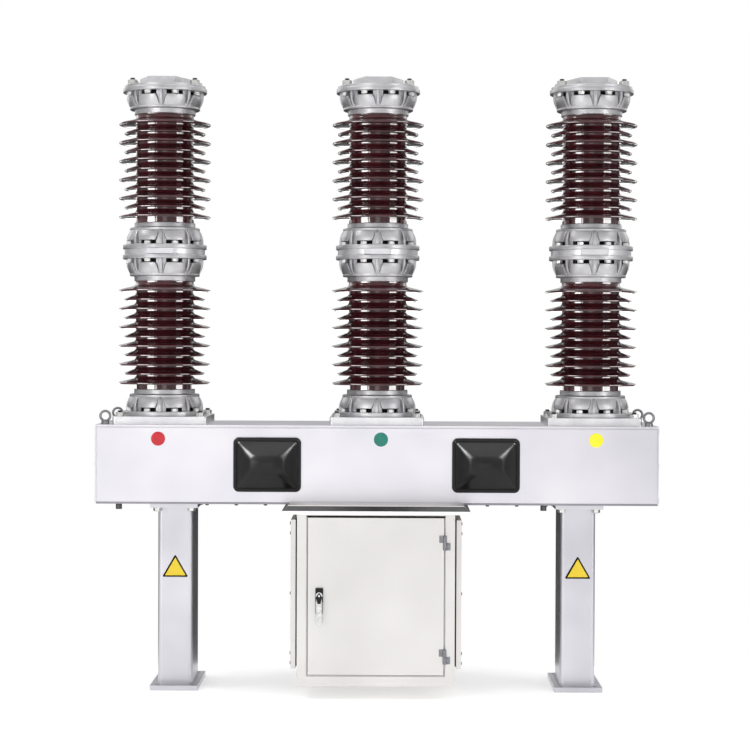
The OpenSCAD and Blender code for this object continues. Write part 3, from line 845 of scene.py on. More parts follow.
@dataclass
class Bell:
    """Ribbed cast flange, rim down and collar up, standing on z = 0.

    Args:
        rim_r: radius of the rim.
        rim_t: thickness of the rim.
        pocket_h: height of the nut pockets above the rim.
        pocket_r: radius at the bottom of the pockets.
        pad_low_r: radius of the pads between the ribs, just above the pockets.
        pad_high_r: radius of the pads at the neck ring.
        valley_r: radius of the valleys beside the ribs.
        valley_w: half distance from one valley's far edge to the other's, at the pockets.
        neck_r: radius of the neck ring.
        collar_r: radius of the collar.
        bell_h: height of the bell.
        neck_h: height of the neck ring.
        height: whole height.
        ribs: number of ribs.
        rib_t: thickness of a rib.
        rib_foot_r: radius of a rib at the rim.
        bolt_circle_r: radius of the circle of nuts.
        nut: the nut in each pocket.
    """

    rim_r: float = 139.0 * MM
    rim_t: float = 15.0 * MM
    pocket_h: float = 12.0 * MM
    pocket_r: float = 97.0 * MM
    pad_low_r: float = 123.5 * MM
    pad_high_r: float = 115.5 * MM
    valley_r: float = 114.0 * MM
    valley_w: float = 18.0 * MM
    neck_r: float = 116.0 * MM
    collar_r: float = 101.0 * MM
    bell_h: float = 48.0 * MM
    neck_h: float = 8.0 * MM
    height: float = 88.0 * MM
    ribs: int = 8
    rib_t: float = 10.0 * MM
    rib_foot_r: float = 128.0 * MM
    bolt_circle_r: float = 117.0 * MM
    nut: Bolt = Bolt(19.0 * MM, 9.0 * MM, 12.5 * MM, 1.6 * MM)

    def zones(self, t: np.ndarray) -> tuple[np.ndarray, np.ndarray, np.ndarray]:
        """Radii of rib, pad and valley along the bell.

        With t from 0 at the rim to 1 at the neck ring, rib and pad run straight between their end radii
        and bulge by a half sine wave; the valley rises to the pad's radius at the neck.

        Args:
            t: array of places along the bell.

        Returns:
            Three arrays of radii.
        """
        wave = np.sin(math.pi * t)
        rib = self.rib_foot_r * (1.0 - t) + (self.pad_high_r + 0.3 * MM) * t + 4.5 * MM * wave
        pad = self.pad_low_r * (1.0 - t) + self.pad_high_r * t + 4.0 * MM * wave
        valley = self.valley_r + (self.pad_high_r - 1.5 * MM - self.valley_r) * t
        return rib, pad, valley

    def casting(self) -> Shape:
        """Returns the casting as one closed grid over angle and height.

        A half sector between two rib middles is crossed at arc offsets a. Up to rib_t / 2 the radius is
        the rib's, up to w(t) the valley's, beyond that the pad's, with small steps at each change for
        the casting's round edges. The offset w narrows from valley_w at the pockets to just outside the
        rib at the neck, so the columns of the grid lean with it. Under the pads the radius falls to
        pocket_r. Rim, neck ring and collar are the same all round.
        """
        half = self.rib_t / 2.0
        sector = math.pi / self.ribs
        z_low, z_neck = self.rim_t, self.rim_t + self.bell_h
        pocket_t = self.pocket_h / self.bell_h
        low_rows = [0.0, 0.1, pocket_t - 0.004, pocket_t + 0.004, pocket_t + 0.03]
        t = np.concatenate([low_rows, np.linspace(0.33, 1.0, 12)])
        rib, pad, valley = self.zones(t)
        width = np.interp(t, [0.0, pocket_t, 0.5, 1.0], [self.valley_w, self.valley_w, 12.0 * MM, half + 1.5 * MM])
        drop = pad.copy()
        drop[:3] = self.pocket_r
        drop[3] = pad[3] - 1.5 * MM
        ones = np.ones_like(t)
        reach = sector * self.pad_low_r
        columns = [
            (0.0 * ones, rib),
            (0.6 * half * ones, rib),
            (0.9 * half * ones, rib - 0.6 * MM),
            (half * ones, np.maximum(rib - 2.4 * MM, valley)),
            ((half + 0.8 * MM) * ones, valley),
            (0.5 * (width + half), valley),
            (width, valley),
            (width + 0.8 * MM, np.minimum(drop, np.maximum(pad - 2.5 * MM, valley))),
            (width + 2.2 * MM, np.minimum(drop, pad - 0.6 * MM)),
            (width + 4.5 * MM, drop),
            (0.45 * (width + 4.5 * MM) + 0.55 * reach, drop),
            (reach * ones, drop),
        ]
        offsets = np.stack([column[0] for column in columns], 1) / self.pad_low_r
        radii = np.stack([column[1] for column in columns], 1)
        angles = np.concatenate([offsets, 2.0 * sector - offsets[:, -2:0:-1]], 1)
        radii = np.concatenate([radii, radii[:, -2:0:-1]], 1)
        turns = np.arange(self.ribs) * 2.0 * sector
        angles = (turns[None, :, None] + angles[:, None, :]).reshape(len(t), -1)
        radii = np.tile(radii, (1, self.ribs))
        heights = z_low + t * (z_neck - z_low)
        edge = 2.5 * MM
        rim = [(0.0, 0.0, 0.0), (self.rim_r, 0.0, edge), (self.rim_r, z_low, edge), (0.0, z_low, 0.0)]
        below = rounded_profile(rim, 4)[1:-1]
        z_collar = z_neck + self.neck_h
        above = rounded_profile(
            [
                (self.pad_high_r - 1.5 * MM, z_neck, 0.0),
                (self.neck_r, z_neck + 0.8 * MM, 1.0 * MM),
                (self.neck_r, z_collar, edge),
                (self.collar_r, z_collar, 2.0 * MM),
                (self.collar_r, self.height, edge),
                (self.collar_r - 12.0 * MM, self.height, 0.0),
            ],
            4,
        )[1:]
        count = angles.shape[1]
        rows_r = np.concatenate([np.repeat(below[:, :1], count, 1), radii, np.repeat(above[:, :1], count, 1)])
        rows_z = np.concatenate([below[:, 1], heights, above[:, 1]])
        rows_a = np.concatenate([np.repeat(angles[:1], len(below), 0), angles, np.repeat(angles[-1:], len(above), 0)])
        heights = np.repeat(rows_z[:, None], count, 1)
        return ringed(np.stack([rows_r * np.cos(rows_a), rows_r * np.sin(rows_a), heights], -1))

    def liner(self) -> Shape:
        """Returns the painted shade inside the pockets: a near-black spool whose flanges lie on their floor and under
        their roof.
        """
        low, high = self.rim_t + 0.15 * MM, self.rim_t + self.pocket_h - 0.6 * MM
        flange_r, core_r, skin = self.valley_r - 0.8 * MM, self.pocket_r + 0.5 * MM, 0.3 * MM
        return lathe(
            np.array(
                [
                    [0.0, low], [flange_r, low], [flange_r, low + skin], [core_r, low + skin],
                    [core_r, high - skin], [flange_r, high - skin], [flange_r, high], [0.0, high],
                ]
            ),
            96,
        )

    def nuts(self) -> Shape:
        """Returns the ring of nuts in the pockets, midway between the ribs."""
        nut = self.nut.head().turned(Axis.Z, 12.0).moved(x=self.bolt_circle_r, z=self.rim_t)
        return ring_of(nut, self.ribs, 180.0 / self.ribs)


@dataclass
class Insulator:
    """Porcelain with large and small sheds in turn, standing on z = 0.

    Args:
        core_r: radius of the core.
        big_r: radius of the large sheds.
        small_r: radius of the small sheds.
        pitch: distance from one large shed to the next.
        big_count: number of large sheds.
        first_tip: height of the first shed's tip.
        height: whole height.
        tip_t: thickness at a tip.
        rise: rise of a shed's upper side.
    """

    core_r: float = 96.0 * MM
    big_r: float = 151.5 * MM
    small_r: float = 134.0 * MM
    pitch: float = 61.5 * MM
    big_count: int = 6
    first_tip: float = 19.0 * MM
    height: float = 357.5 * MM
    tip_t: float = 6.0 * MM
    rise: float = 16.0 * MM

    def shed(self, r: float, z: float) -> np.ndarray:
        """Outline of one shed: hollow underside, half-round tip, sloping top with a wide root fillet.

        Args:
            r: radius of the tip.
            z: height of the tip's middle.

        Returns:
            Array (n, 2) from the lower root to the upper one.
        """
        half = self.tip_t / 2.0
        return rounded_profile(
            [
                (self.core_r, z - 6.0 * MM, 0.0),
                (self.core_r, z + 2.0 * MM, 5.0 * MM),
                (r - 8.0 * MM, z - half, 3.0 * MM),
                (r, z - half, half * 0.98),
                (r, z + half, half * 0.98),
                (self.core_r + 4.0 * MM, z + self.rise, 10.0 * MM),
                (self.core_r, z + self.rise + 6.0 * MM, 0.0),
            ],
            5,
        )

    def surface(self) -> Shape:
        """Returns the whole insulator as one surface of revolution."""
        outlines = [
            self.shed(self.big_r if i % 2 == 0 else self.small_r, self.first_tip + i * self.pitch / 2.0)
            for i in range(2 * self.big_count - 1)
        ]
        ends_low = np.array([[0.0, 0.0], [self.core_r, 0.0]])
        ends_high = np.array([[self.core_r, self.height], [0.0, self.height]])
        return lathe(np.concatenate([ends_low, *outlines, ends_high]), 112)


@dataclass
class Pole:
    """One pole: base plate, two insulators, four bells, middle and top terminals.

    Args:
        name: the node prefix, such as "left_pole".
        x: place of the pole's axis.
        bell: the flange at each end of an insulator.
        insulator: the porcelain.
        base_bolt: the bolt near each corner of the base plate.
        base_inset: distance of those bolts from the plate's edges.
        cap_nut: the nut that holds the cap.
        cap_nut_place: distances of those nuts from the axis across and along.
        cap_t: thickness of the cap's flange.
    """

    name: str
    x: float
    bell: Bell = field(default_factory=Bell)
    insulator: Insulator = field(default_factory=Insulator)
    base_bolt: Bolt = Bolt(24.0 * MM, 12.0 * MM, 15.0 * MM, 2.5 * MM, 7.5 * MM, 5.0 * MM)
    base_inset: float = 22.0 * MM
    cap_nut: Bolt = Bolt(28.0 * MM, 16.0 * MM, 16.5 * MM, 3.0 * MM, 8.0 * MM, 5.6 * MM)
    cap_nut_place: tuple[float, float] = (103.0 * MM, 43.0 * MM)
    cap_t: float = 8.0 * MM

    def node(self, part: str) -> str:
        """Returns the full name of one of the pole's nodes."""
        return f"{self.name}_{part}"

    def castings(self) -> None:
        """Builds the bells in place of the CAD ones, with their nuts and the painted shade in their pockets."""
        sources = [
            ("casting", self.bell.casting(), CAST_ALLOY, "cast_alloy"),
            # near-black liner: painted shade inside the nut pockets
            ("pocket_liner", self.bell.liner(), POCKET_PAINTED_SHADE, "cast_alloy"),
            # whiter, more diffuse zinc on the pocket nuts: painted light against the pockets' shade
            ("nuts", self.bell.nuts(), NUT_ZINC_PAINTED_LIGHT, "hinge_steel"),
        ]
        bottom, _ = corners(self.node("bottom_flange"))
        low, high = corners(self.node("middle_flanges"))
        _, top = corners(self.node("top_flange"))
        standing = {
            "bottom_flange": [(bottom[2], False)],
            "top_flange": [(top[2], True)],
            "middle_flanges": [(low[2] + self.bell.height, True), (high[2] - self.bell.height, False)],
        }
        for part, places in standing.items():
            for label, source, finish, slot in sources:
                placed = [(source.flipped() if hangs else source).moved(x=self.x, z=z) for z, hangs in places]
                stands_for = (self.node(part),) if label == "casting" else ()
                piece(f"{self.name}_{part}_{label}", joined(placed), finish, replaces=stands_for)

    def porcelain(self) -> None:
        """Builds both insulators in place of the CAD ones."""
        surface = self.insulator.surface()
        for part in ("lower_insulator", "upper_insulator"):
            node = self.node(part)
            placed = surface.moved(x=self.x, z=corners(node)[0][2])
            piece(f"{node}_glazed", placed, PORCELAIN, replaces=(node,), smooth=60.0)

    def base(self) -> None:
        """Dresses the base plate and sets a bolt near each corner."""
        low, high = corners(self.node("base_plate"))
        dress(self.node("base_plate"), PLATE_ALLOY)
        across = (low[0] + self.base_inset, high[0] - self.base_inset)
        along = (low[1] + self.base_inset, high[1] - self.base_inset)
        places = [(x, y, high[2]) for x in across for y in along]
        fasteners(f"{self.name}_base", "bolts", self.base_bolt, places, 15.0)

    def terminals(self) -> None:
        """Dresses both terminals and sets the nuts that hold the cap."""
        dress(self.node("middle_terminal"), PLATE_ALLOY)
        dress(self.node("top_terminal"), TERMINAL_ALLOY)
        low, _ = corners(self.node("top_terminal"))
        across, along = self.cap_nut_place
        z = low[2] + self.cap_t
        places = [(self.x + sx * across, sy * along, z) for sx in (-1.0, 1.0) for sy in (-1.0, 1.0)]
        fasteners(f"{self.name}_cap", "nuts", self.cap_nut, places, 0.0)

    def build(self) -> None:
        """Builds and dresses the whole pole."""
        self.base()
        self.castings()
        self.porcelain()
        self.terminals()


@dataclass
class SightCover:
    """Black moulded cover on the beam's front: flange with a bead, then a hipped dome with soft hips.

    Args:
        flange_t: thickness of the flange.
        rim: width of the flange before the bead.
        bead: height of the bead round the dome.
        crown_w: width of the dome's crown.
        crown_h: height of the dome's crown.
        corner_r: corner radius of the flange.
        edge: radius of the flange's front edge.
        corner_steps: steps on each ring's corner.
    """

    flange_t: float = 9.0 * MM
    rim: float = 7.0 * MM
    bead: float = 2.5 * MM
    crown_w: float = 110.0 * MM
    crown_h: float = 62.0 * MM
    corner_r: float = 18.0 * MM
    edge: float = 2.5 * MM
    corner_steps: int = 6

    def surface(self, width: float, height: float, depth: float) -> Shape:
        """Rings of round-cornered rectangles carried outwards.

        Ring k has half sizes that shrink from the flange to the crown, a corner radius that grows
        towards the crown, and a stand-out that rises straight along the facets and levels off.

        Args:
            width: width of the flange.
            height: height of the flange.
            depth: stand-out of the crown from the flange's back.

        Returns:
            The shape, its back on z = 0 and its crown towards +z.
        """
        edge, face = self.edge, self.flange_t
        rings = [(0.0, 0.0), (0.0, face - edge), (edge * 0.3, face - edge * 0.3), (edge, face)]
        rings += [(self.rim, face), (self.rim + 1.2 * MM, face + self.bead)]
        rings += [(self.rim + 3.2 * MM, face + self.bead), (self.rim + 4.5 * MM, face + 0.5 * MM)]
        start, start_z = self.rim + 5.5 * MM, self.flange_t + 0.5 * MM
        end_w, end_h = (width - self.crown_w) / 2.0, (height - self.crown_h) / 2.0
        sizes = [(inset, inset, z, max(self.corner_r - inset, 4.0 * MM)) for inset, z in rings]
        for s in np.linspace(0.0, 1.0, 13):
            inset_w, inset_h = start + (end_w - start) * s, start + (end_h - start) * s
            lift = 0.86 * s + 0.06 * math.sin(math.pi * s)
            sizes.append((inset_w, inset_h, start_z + (depth - start_z) * lift, (8.0 + 17.0 * s) * MM))
        for s in np.linspace(0.12, 1.0, 8):
            inset_w = end_w + (self.crown_w / 2.0 - 8.0 * MM) * s
            inset_h = end_h + (self.crown_h / 2.0 - 4.0 * MM) * s
            lift = 0.86 + 0.14 * math.sin(0.5 * math.pi * s)
            sizes.append((inset_w, inset_h, start_z + (depth - start_z) * lift, 25.0 * MM - 22.0 * MM * s))
        loops = [box_outline(width - 2 * a, height - 2 * b, r, self.corner_steps) for a, b, _, r in sizes]
        heights = np.array([z for _, _, z, _ in sizes])[:, None, None]
        return ringed(np.concatenate([loops, np.repeat(heights, len(loops[0]), 1)], -1))

    def build(self, side: Side) -> None:
        """Builds the cover in its CAD node's box.

        Args:
            side: the side of the beam's front.
        """
        node = f"{side.word}_sight_cover"
        low, high = corners(node)
        width, depth, height = high - low
        middle = (low + high) / 2.0
        placed = self.surface(width, height, depth).turned(Axis.X, 90.0).moved(middle[0], high[1], middle[2])
        piece(f"{node}_moulded", placed, COVER_GLOSS, replaces=(node,), smooth=50.0)


@dataclass
class Beam:
    """The long housing with its screws, phase discs, lifting eyes and plugs.

    Args:
        screw_pitch: distance between the screws under the lower edge.
        screw_first: distance of the first screw from the middle.
        screw_inset: distance of the screws from the underside's long edges.
        screw_r: radius of a screw's head.
        screw_h: height of a screw's head.
        disc_r: radius of a phase disc.
        disc_t: thickness of a phase disc.
        disc_z: height of the discs above the beam's underside.
        discs: each disc's colour word, place along the beam and finish.
    """

    screw_pitch: float = 95.0 * MM
    screw_first: float = 361.0 * MM
    screw_inset: float = 12.0 * MM
    screw_r: float = 6.0 * MM
    screw_h: float = 5.0 * MM
    disc_r: float = 23.0 * MM
    disc_t: float = 1.6 * MM
    disc_z: float = 212.0 * MM
    discs: tuple[tuple[str, float, Finish], ...] = (
        ("red", -710.0 * MM, RED_ENAMEL),
        ("green", 14.0 * MM, GREEN_ENAMEL),
        ("yellow", 712.0 * MM, YELLOW_ENAMEL),
    )

    def dress_nodes(self) -> None:
        """Gives the beam's own plates their finish."""
        for part in ("top_plate", "front_panel", "back_panel", "left_end_cover", "right_end_cover"):
            dress(f"beam_{part}", BEAM_STEEL)
        # darker bottom plate: painted shade for the shadow line along the beam's lower edge
        dress("beam_bottom_plate", BEAM_UNDERSIDE_PAINTED_SHADE)
        dress("lifting_eyes", GALVANISED)
        dress("drain_plugs", DARK_STEEL)

    def set_discs(self) -> None:
        """Sets the three plain enamelled discs."""
        front = corners("beam_front_panel")[0][1]
        z = corners("beam_bottom_plate")[0][2] + self.disc_z
        line = [(0, 0, 0), (self.disc_r, 0, 0), (self.disc_r, self.disc_t, 0.6 * MM), (0, self.disc_t, 0)]
        plate = lathe(rounded_profile(line, 3), 64).turned(Axis.X, 90.0)
        for word, x, enamel in self.discs:
            piece(f"phase_disc_{word}", plate.moved(x, front, z), enamel)

    def set_screws(self) -> None:
        """Sets the screws that hang from the underside along both long edges, between legs and cabinet."""
        low, high = corners("beam_bottom_plate")
        head = pan_head(self.screw_r, self.screw_h).flipped()
        heads = [
            head.moved(side.value * (self.screw_first + k * self.screw_pitch), y, low[2])
            for side in Side
            for k in range(3)
            for y in (low[1] + self.screw_inset, high[1] - self.screw_inset)
        ]
        piece("beam_edge_screws", joined(heads), DARK_STEEL)

    def build(self) -> None:
        """Builds and dresses the beam."""
        self.dress_nodes()
        self.set_discs()
        self.set_screws()
        for side in Side:
            SightCover().build(side)


@dataclass
class Legs:
    """The two legs with the bolts under their top plates, their welds and the plain plates on their fronts.

    Args:
        bolt_x: half distance of the bolts across a leg.
        bolt_y: half distance of the bolts along a leg.
        top_plate_t: thickness of the top plate.
        bolt: the bolt under the top plate.
        weld_r: radius of the weld bead.
        weld_step: distance from one swelling of the bead to the next.
        foot_t: thickness of the foot plate.
        column: width, depth and corner radius of the column.
        plate_side: side of the triangular plate.
        plate_z: height of its centre.
        border: width of its dark border.
    """

    bolt_x: float = 56.0 * MM
    bolt_y: float = 125.0 * MM
    top_plate_t: float = 16.0 * MM
    bolt: Bolt = Bolt(24.0 * MM, 10.0 * MM, 14.0 * MM, 2.5 * MM)
    weld_r: float = 3.5 * MM
    weld_step: float = 6.0 * MM
    foot_t: float = 16.0 * MM
    column: tuple[float, float, float] = (115.0 * MM, 200.0 * MM, 14.0 * MM)
    plate_side: float = 86.0 * MM
    plate_z: float = 392.0 * MM
    border: float = 5.0 * MM

    def build(self) -> None:
        """Dresses both legs and adds what is fixed to them."""
        for side in Side:
            node = f"{side.word}_leg"
            dress(node, LEG_STEEL)
            low, high = corners(node)
            x = (low[0] + high[0]) / 2.0
            z = high[2] - self.top_plate_t
            head = self.bolt.head().flipped()
            heads = [head.moved(x + sx * self.bolt_x, sy * self.bolt_y, z) for sx in (-1, 1) for sy in (-1, 1)]
            piece(f"{node}_top_bolts", joined(heads), ZINC)
            welds = [self.weld().moved(x=x, z=level) for level in (low[2] + self.foot_t, z)]
            piece(f"{node}_welds", joined(welds), LEG_STEEL)
            self.triangle(node, x)

    def weld(self) -> Shape:
        """Returns the weld bead round a column's end: a hoop whose radius swells by a tenth every weld_step."""
        outline = box_outline(*self.column, 6)
        loop = np.concatenate([outline, outline[:1]])
        along = np.concatenate([[0.0], np.cumsum(np.linalg.norm(np.diff(loop, axis=0), axis=1))])
        count = 2 * round(along[-1] / self.weld_step)
        place = np.arange(count) * along[-1] / count
        path = np.stack([np.interp(place, along, loop[:, 0]), np.interp(place, along, loop[:, 1]), 0.0 * place], -1)
        return hoop(path, self.weld_r * (1.0 + 0.1 * (-1.0) ** np.arange(count)), 8)

    def triangle(self, node: str, x: float) -> None:
        """Sets a plain enamelled triangle on a leg's front.

        Args:
            node: the leg's node.
            x: the leg's axis.
        """
        half, rise = self.plate_side / 2.0, self.plate_side * math.sqrt(3.0) / 2.0
        outline = rounded_outline([(-half, -rise / 3.0), (half, -rise / 3.0), (0.0, 2.0 * rise / 3.0)], 3.0 * MM)
        front = -self.column[1] / 2.0
        inner = outline - self.border * outline_normals(outline)
        for label, line, high, finish in (("border", outline, 1.0, BLACK_GLOSS), ("field", inner, 1.5, AMBER_ENAMEL)):
            plate = slab(line, 0.0, high * MM, 0.3 * MM).turned(Axis.X, 90.0).moved(x, front, self.plate_z)
            piece(f"{node}_plate_{label}", plate, finish)


@dataclass
class Cabinet:
    """The drive cabinet, its door, hinges, lock and lever.

    Args:
        screw_r: radius of a side cover's screw head.
        screw_h: height of that head.
        screw_inset: distance of the screws from the side cover's upright edges.
        screw_rows: heights of the screws.
        hub_r: radius of the lever's hub.
        lever_t: thickness of the lever.
        lever_w: width of the lever's blade.
        cheek: width and length of the black strip on each side of the blade, a painted dark reflection of the blade's
            sides.
        cheek_drop: distance from the hub's middle down to those strips.
        hub_plate: outline of the black plate on the hub, counter-clockwise.
        hub_plate_t: thickness of that plate.
        pin: radius and height of the bright pin.
        door_gap: gap round the door.
        lip: width and depth of the foam lip in that gap.
        lip_set_back: distance of the lip's middle behind the door's front.
    """

    screw_r: float = 5.5 * MM
    screw_h: float = 3.0 * MM
    screw_inset: float = 14.0 * MM
    screw_rows: tuple[float, ...] = (0.109, 0.141, 0.334, 0.528, 0.560)
    hub_r: float = 11.0 * MM
    lever_t: float = 10.0 * MM
    lever_w: float = 18.0 * MM
    cheek: tuple[float, float] = (2.0 * MM, 50.0 * MM)
    cheek_drop: float = 8.0 * MM
    hub_plate: tuple[tuple[float, float], ...] = (
        (-10.0 * MM, -4.0 * MM),
        (-5.0 * MM, -26.0 * MM),
        (5.0 * MM, -26.0 * MM),
        (10.0 * MM, -4.0 * MM),
        (0.0, 11.0 * MM),
    )
    hub_plate_t: float = 1.6 * MM
    pin: tuple[float, float] = (4.2 * MM, 2.6 * MM)
    door_gap: float = 5.0 * MM
    lip: tuple[float, float] = (3.4 * MM, 6.0 * MM)
    lip_set_back: float = 6.0 * MM

    def dress_nodes(self) -> None:
        """Gives the cabinet's nodes their finishes."""
        finishes = {
            CABINET_STEEL: (
                "cabinet_left_wall", "cabinet_right_wall", "cabinet_back_wall", "cabinet_floor",
                "cabinet_front_frame", "door_panel", "roof_cap_plates", "left_side_cover", "right_side_cover",
            ),
            # near-white roof: painted reflection of the beam's bright front
            ROOF_PAINTED_REFLECTION: ("cabinet_roof",),
            # dark grey skirts: painted dark reflection on the roof's sloping bevel
            ROOF_SKIRT_PAINTED_REFLECTION: ("roof_skirts",),
            BLACK_RUBBER: ("roof_seal", "side_gaskets"),
            GALVANISED: ("door_hinge_halves", "frame_hinge_halves"),
            BLACK_GLOSS: ("door_lock",),
            SATIN_CHROME: ("door_lever",),
        }
        for finish, nodes in finishes.items():
            for node in nodes:
                dress(node, finish)

    def side_screws(self) -> None:
        """Sets the screws that hold both side covers."""
        for side in Side:
            low, high = corners(f"{side.word}_side_cover")
            x = low[0] if side is Side.LEFT else high[0]
            head = pan_head(self.screw_r, self.screw_h).turned(Axis.Y, 90.0 * side.value)
            along = (low[1] + self.screw_inset, (low[1] + high[1]) / 2.0, high[1] - self.screw_inset)
            heads = [head.moved(x, y, z) for y in along for z in self.screw_rows]
            piece(f"{side.word}_side_cover_screws", joined(heads), DARK_STEEL)

    def lever_trim(self) -> None:
        """Adds the lever's black side strips, a painted dark reflection of the blade's sides, with its black hub
        plate and its bright pin, all riding on the lever.
        """
        low, high = corners("door_lever")
        x, hub = (low[0] + high[0]) / 2.0, high[2] - self.hub_r
        thick = self.lever_t / 2.0 - 0.4 * MM
        width, length = self.cheek
        # black strips beside the blade: painted dark reflection of its sides
        cheek = slab(box_outline(width, length, 0.8 * MM, 2), -thick, thick, 0.5 * MM, 2).turned(Axis.X, 90.0)
        y, z = low[1] + self.lever_t / 2.0, hub - self.cheek_drop - length / 2.0
        out = self.lever_w / 2.0 + width / 2.0
        outline = rounded_outline(list(self.hub_plate), 3.0 * MM)
        plate = slab(outline, 0.0, self.hub_plate_t, 0.5 * MM, 2).turned(Axis.X, 90.0)
        trim = [cheek.moved(x - out, y, z), cheek.moved(x + out, y, z), plate.moved(x, low[1], hub)]
        piece("door_lever_trim", joined(trim), BLACK_GLOSS, LEVER_BODY)
        pin = pan_head(*self.pin).turned(Axis.X, 90.0).moved(x, low[1] - self.hub_plate_t + 0.2 * MM, hub)
        piece("door_lever_pin", pin, SATIN_CHROME, LEVER_BODY)

    def foam_lip(self, width: float, height: float) -> Shape:
        """Returns one strip of foam, facing forwards, about the origin."""
        depth = self.lip[1] / 2.0
        return slab(box_outline(width, height, 0.8 * MM, 2), -depth, depth, 0.6 * MM, 2).turned(Axis.X, 90.0)

    def door_seal(self) -> None:
        """Lays the pale foam lips on the frame's opening, beside and below the door."""
        low, high = corners("door_panel")
        thick = self.lip[0]
        y, z = low[1] + self.lip_set_back, (low[2] + high[2]) / 2.0
        side = self.foam_lip(thick, high[2] - low[2] + self.door_gap)
        sill = self.foam_lip(high[0] - low[0] + 2.0 * self.door_gap, thick)
        out = self.door_gap - thick / 2.0
        lips = [
            side.moved(low[0] - out, y, z),
            side.moved(high[0] + out, y, z),
            sill.moved((low[0] + high[0]) / 2.0, y, low[2] - out),
        ]
        piece("door_opening_lips", joined(lips), PALE_FOAM)

    def build(self) -> None:
        """Builds and dresses the cabinet."""
        self.dress_nodes()
        self.side_screws()
        self.door_seal()
        self.lever_trim()


# ---------------------------------------------------------------- studio


@dataclass(frozen=True)
class Softbox:
    """A rectangular lamp.

    Args:
        name: the lamp's name.
        place: its position.
        aim: the point that it faces.
        size: its width and height.
        power: power in watts.
        only: ending of the names of the pieces that it falls on; empty for everything.
    """

    name: str
    place: tuple[float, float, float]
    aim: tuple[float, float, float]
    size: tuple[float, float]
    power: float
    only: str = ""

    def build(self) -> None:
        """Adds the lamp, turned so that it faces its aim, and flags it off from all but its own pieces."""
        light = bpy.data.lights.new(self.name, "AREA")
        light.shape = "RECTANGLE"
        light.size, light.size_y = self.size
        light.energy = self.power
        made = bpy.data.objects.new(self.name, light)
        bpy.context.scene.collection.objects.link(made)
        made.location = self.place
        x, y, z = np.array(self.aim) - np.array(self.place)
        made.rotation_euler = (math.atan2(math.hypot(x, y), -z), 0.0, math.atan2(y, x) - math.pi / 2)
        if self.only:
            group = bpy.data.collections.new(f"{self.name}_pieces")
            for target in bpy.data.objects:
                if target.name.endswith(self.only):
                    group.objects.link(target)
            made.light_linking.receiver_collection = group


def upright(name: str, azimuth: float, width: float, power: float, only: str = "") -> Softbox:
    """An upright strip on a circle of 6 m round the object, at (6 sin a, -6 cos a).

    Args:
        name: the lamp's name.
        azimuth: angle a from the front in degrees, positive to the right.
        width: the strip's width.
        power: power in watts.
        only: ending of the names of the pieces that it falls on; empty for everything.

    Returns:
        The lamp's data.
    """
    angle = math.radians(azimuth)
    place = (6.0 * math.sin(angle), -6.0 * math.cos(angle), 1.7)
    return Softbox(name, place, (0.0, 0.0, 1.3), (width, 2.4), power, only)


GLAZED, COVERS = "_glazed", "_sight_cover_moulded"

# The glaze lamps give the broad pair of streaks down each pole and the light under its sheds, the cover
# lamps the glow on the covers' upper hips. The rest fall on everything: two thin strips that edge the
# metals, a dim fill from the front, and soft light from above and behind.
LAMPS = (
    upright("strip_left", -34.0, 0.34, 45.0),
    upright("strip_right", 51.0, 0.34, 45.0),
    upright("strip_glaze_left", -54.0, 3.0, 500.0, GLAZED),
    upright("strip_glaze_right", 66.0, 3.0, 330.0, GLAZED),
    Softbox("cover_left", (-3.2, -2.6, 4.2), (0.0, 0.0, 0.75), (1.8, 1.8), 480.0, COVERS),
    Softbox("cover_right", (3.2, -2.6, 4.2), (0.0, 0.0, 0.75), (1.8, 1.8), 260.0, COVERS),
    Softbox("front_fill", (0.0, -7.4, 1.1), (0.0, 0.0, 1.0), (2.2, 2.0), 19.0),
    Softbox("upper_left", (-4.2, -0.6, 4.9), (0.0, 0.0, 0.8), (1.1, 1.1), 40.0),
    Softbox("upper_right", (4.2, -0.6, 4.9), (0.0, 0.0, 0.8), (1.1, 1.1), 20.0),
    Softbox("top_soft", (0.0, -0.5, 5.0), (0.0, 0.0, 0.0), (5.0, 4.0), 80.0),
    Softbox("back_left", (-4.0, 4.5, 3.0), (0.0, 0.0, 1.0), (2.5, 2.5), 22.0),
    Softbox("back_right", (4.0, 4.5, 3.0), (0.0, 0.0, 1.0), (2.5, 2.5), 22.0),
    Softbox("glaze_back", (0.0, 5.0, 0.5), (0.0, 0.0, 1.3), (9.0, 1.0), 70.0, GLAZED),
)


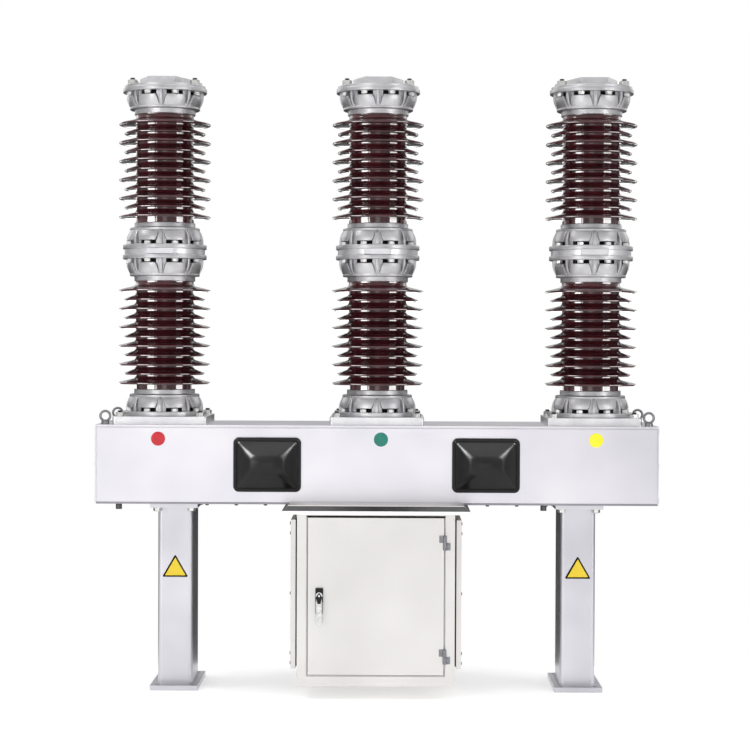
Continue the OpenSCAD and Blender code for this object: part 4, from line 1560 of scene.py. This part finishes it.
@dataclass
class Studio:
    """Pale floor, light tent, lamps and the camera.

    Args:
        camera_place: where the camera stands.
        lens_mm: focal length on a 36 mm wide sensor.
        turn_deg: turn about the vertical, positive to the left.
        tilt_deg: upward tilt.
        roll_deg: roll, negative lifts the camera's right side.
        floor_r: radius of the floor.
        floor_y: place of the floor's middle, in front of the object.
        tent: strength of the light tent round the object.
        gap: strength of the dark gap behind it.
        gap_from: y part of a direction at which the gap starts.
        gap_to: y part at which it is as dark as it gets.
        gap_high: z part below which the gap starts.
        gap_low: z part at which it is as dark as it gets.
    """

    camera_place: tuple[float, float, float] = (0.0444, -6.735, 1.1484)
    lens_mm: float = 96.9
    turn_deg: float = 0.446
    tilt_deg: float = -0.979
    roll_deg: float = -0.222
    floor_r: float = 5.2
    floor_y: float = -4.75
    tent: float = 0.62
    gap: float = 0.03
    gap_from: float = 0.2
    gap_to: float = 0.7
    gap_high: float = 0.2
    gap_low: float = -0.02

    def floor(self) -> None:
        """Adds the floor: a disc of white acrylic, dimly lit from below, that ends close behind the object."""
        turn = np.linspace(0.0, 2.0 * math.pi, 96, endpoint=False)
        x, y = self.floor_r * np.cos(turn), self.floor_r * np.sin(turn) + self.floor_y
        mesh = bpy.data.meshes.new("studio_floor")
        mesh.from_pydata(np.stack([x, y, np.zeros(96)], -1).tolist(), [], [list(range(96))])
        mesh.materials.append(LitSheet("lit_acrylic_floor", "#f7f7f7", 0.9).material())
        made = bpy.data.objects.new("studio_floor", mesh)
        bpy.context.scene.collection.objects.link(made)

    def world(self) -> None:
        """Makes the surroundings: white to look at, and as light a soft white tent with a dark gap behind.

        The tent's strength falls from tent to gap by two smooth steps multiplied together: one as the y part
        of the direction runs from gap_from to gap_to, one as its z part runs from gap_high down to gap_low.
        """
        world = bpy.data.worlds.new("studio")
        bpy.context.scene.world = world
        world.use_nodes = True
        tree = world.node_tree
        tree.nodes.clear()
        seen = add_node(tree, "Background", {("in", "Color"): (1.0, 1.0, 1.0, 1.0), ("in", "Strength"): 1.0}, {})
        place = add_node(tree, "TexCoord", {}, {})
        parts = add_node(tree, "SeparateXYZ", {}, {0: (place, "Generated")})
        steps = [
            add_node(
                tree,
                "MapRange",
                {"interpolation_type": "SMOOTHSTEP", ("in", "From Min"): start, ("in", "From Max"): end},
                {"Value": (parts, axis)},
            )
            for axis, start, end in (("Y", self.gap_from, self.gap_to), ("Z", self.gap_high, self.gap_low))
        ]
        both = add_node(tree, "Math", {"operation": "MULTIPLY"}, {0: (steps[0], "Result"), 1: (steps[1], "Result")})
        tent = add_node(
            tree, "MapRange", {("in", "To Min"): self.tent, ("in", "To Max"): self.gap}, {"Value": (both, "Value")}
        )
        light = add_node(tree, "Background", {("in", "Color"): (1.0, 1.0, 1.0, 1.0)}, {"Strength": (tent, "Result")})
        path = add_node(tree, "LightPath", {}, {})
        mix = add_node(tree, "MixShader", {}, {0: (path, "Is Camera Ray"), 1: (light, 0), 2: (seen, 0)})
        output = add_node(tree, "OutputWorld", {}, {"Surface": (mix, 0)})
        output.is_active_output = True

    def camera(self) -> None:
        """Adds the camera, level but for its small turn, tilt and roll."""
        data = bpy.data.cameras.new("camera")
        data.sensor_width = 36.0
        data.lens = self.lens_mm
        made = bpy.data.objects.new("camera", data)
        bpy.context.scene.collection.objects.link(made)
        made.location = self.camera_place
        made.rotation_euler = (
            math.radians(90.0 + self.tilt_deg), math.radians(self.roll_deg), math.radians(self.turn_deg)
        )
        bpy.context.scene.camera = made

    def build(self) -> None:
        """Builds the studio."""
        self.floor()
        self.world()
        for lamp in LAMPS:
            lamp.build()
        self.camera()
        bpy.context.scene.view_settings.view_transform = "Standard"


def main() -> None:
    """Builds the studio and every sub-assembly."""
    logging.basicConfig(level=logging.INFO, format="%(name)s %(message)s")
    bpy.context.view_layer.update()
    for name, x in (("left_pole", -0.710), ("middle_pole", 0.0), ("right_pole", 0.710)):
        Pole(name, x).build()
    Beam().build()
    Legs().build()
    Cabinet().build()
    Studio().build()


if __name__ == "__main__":
    main()
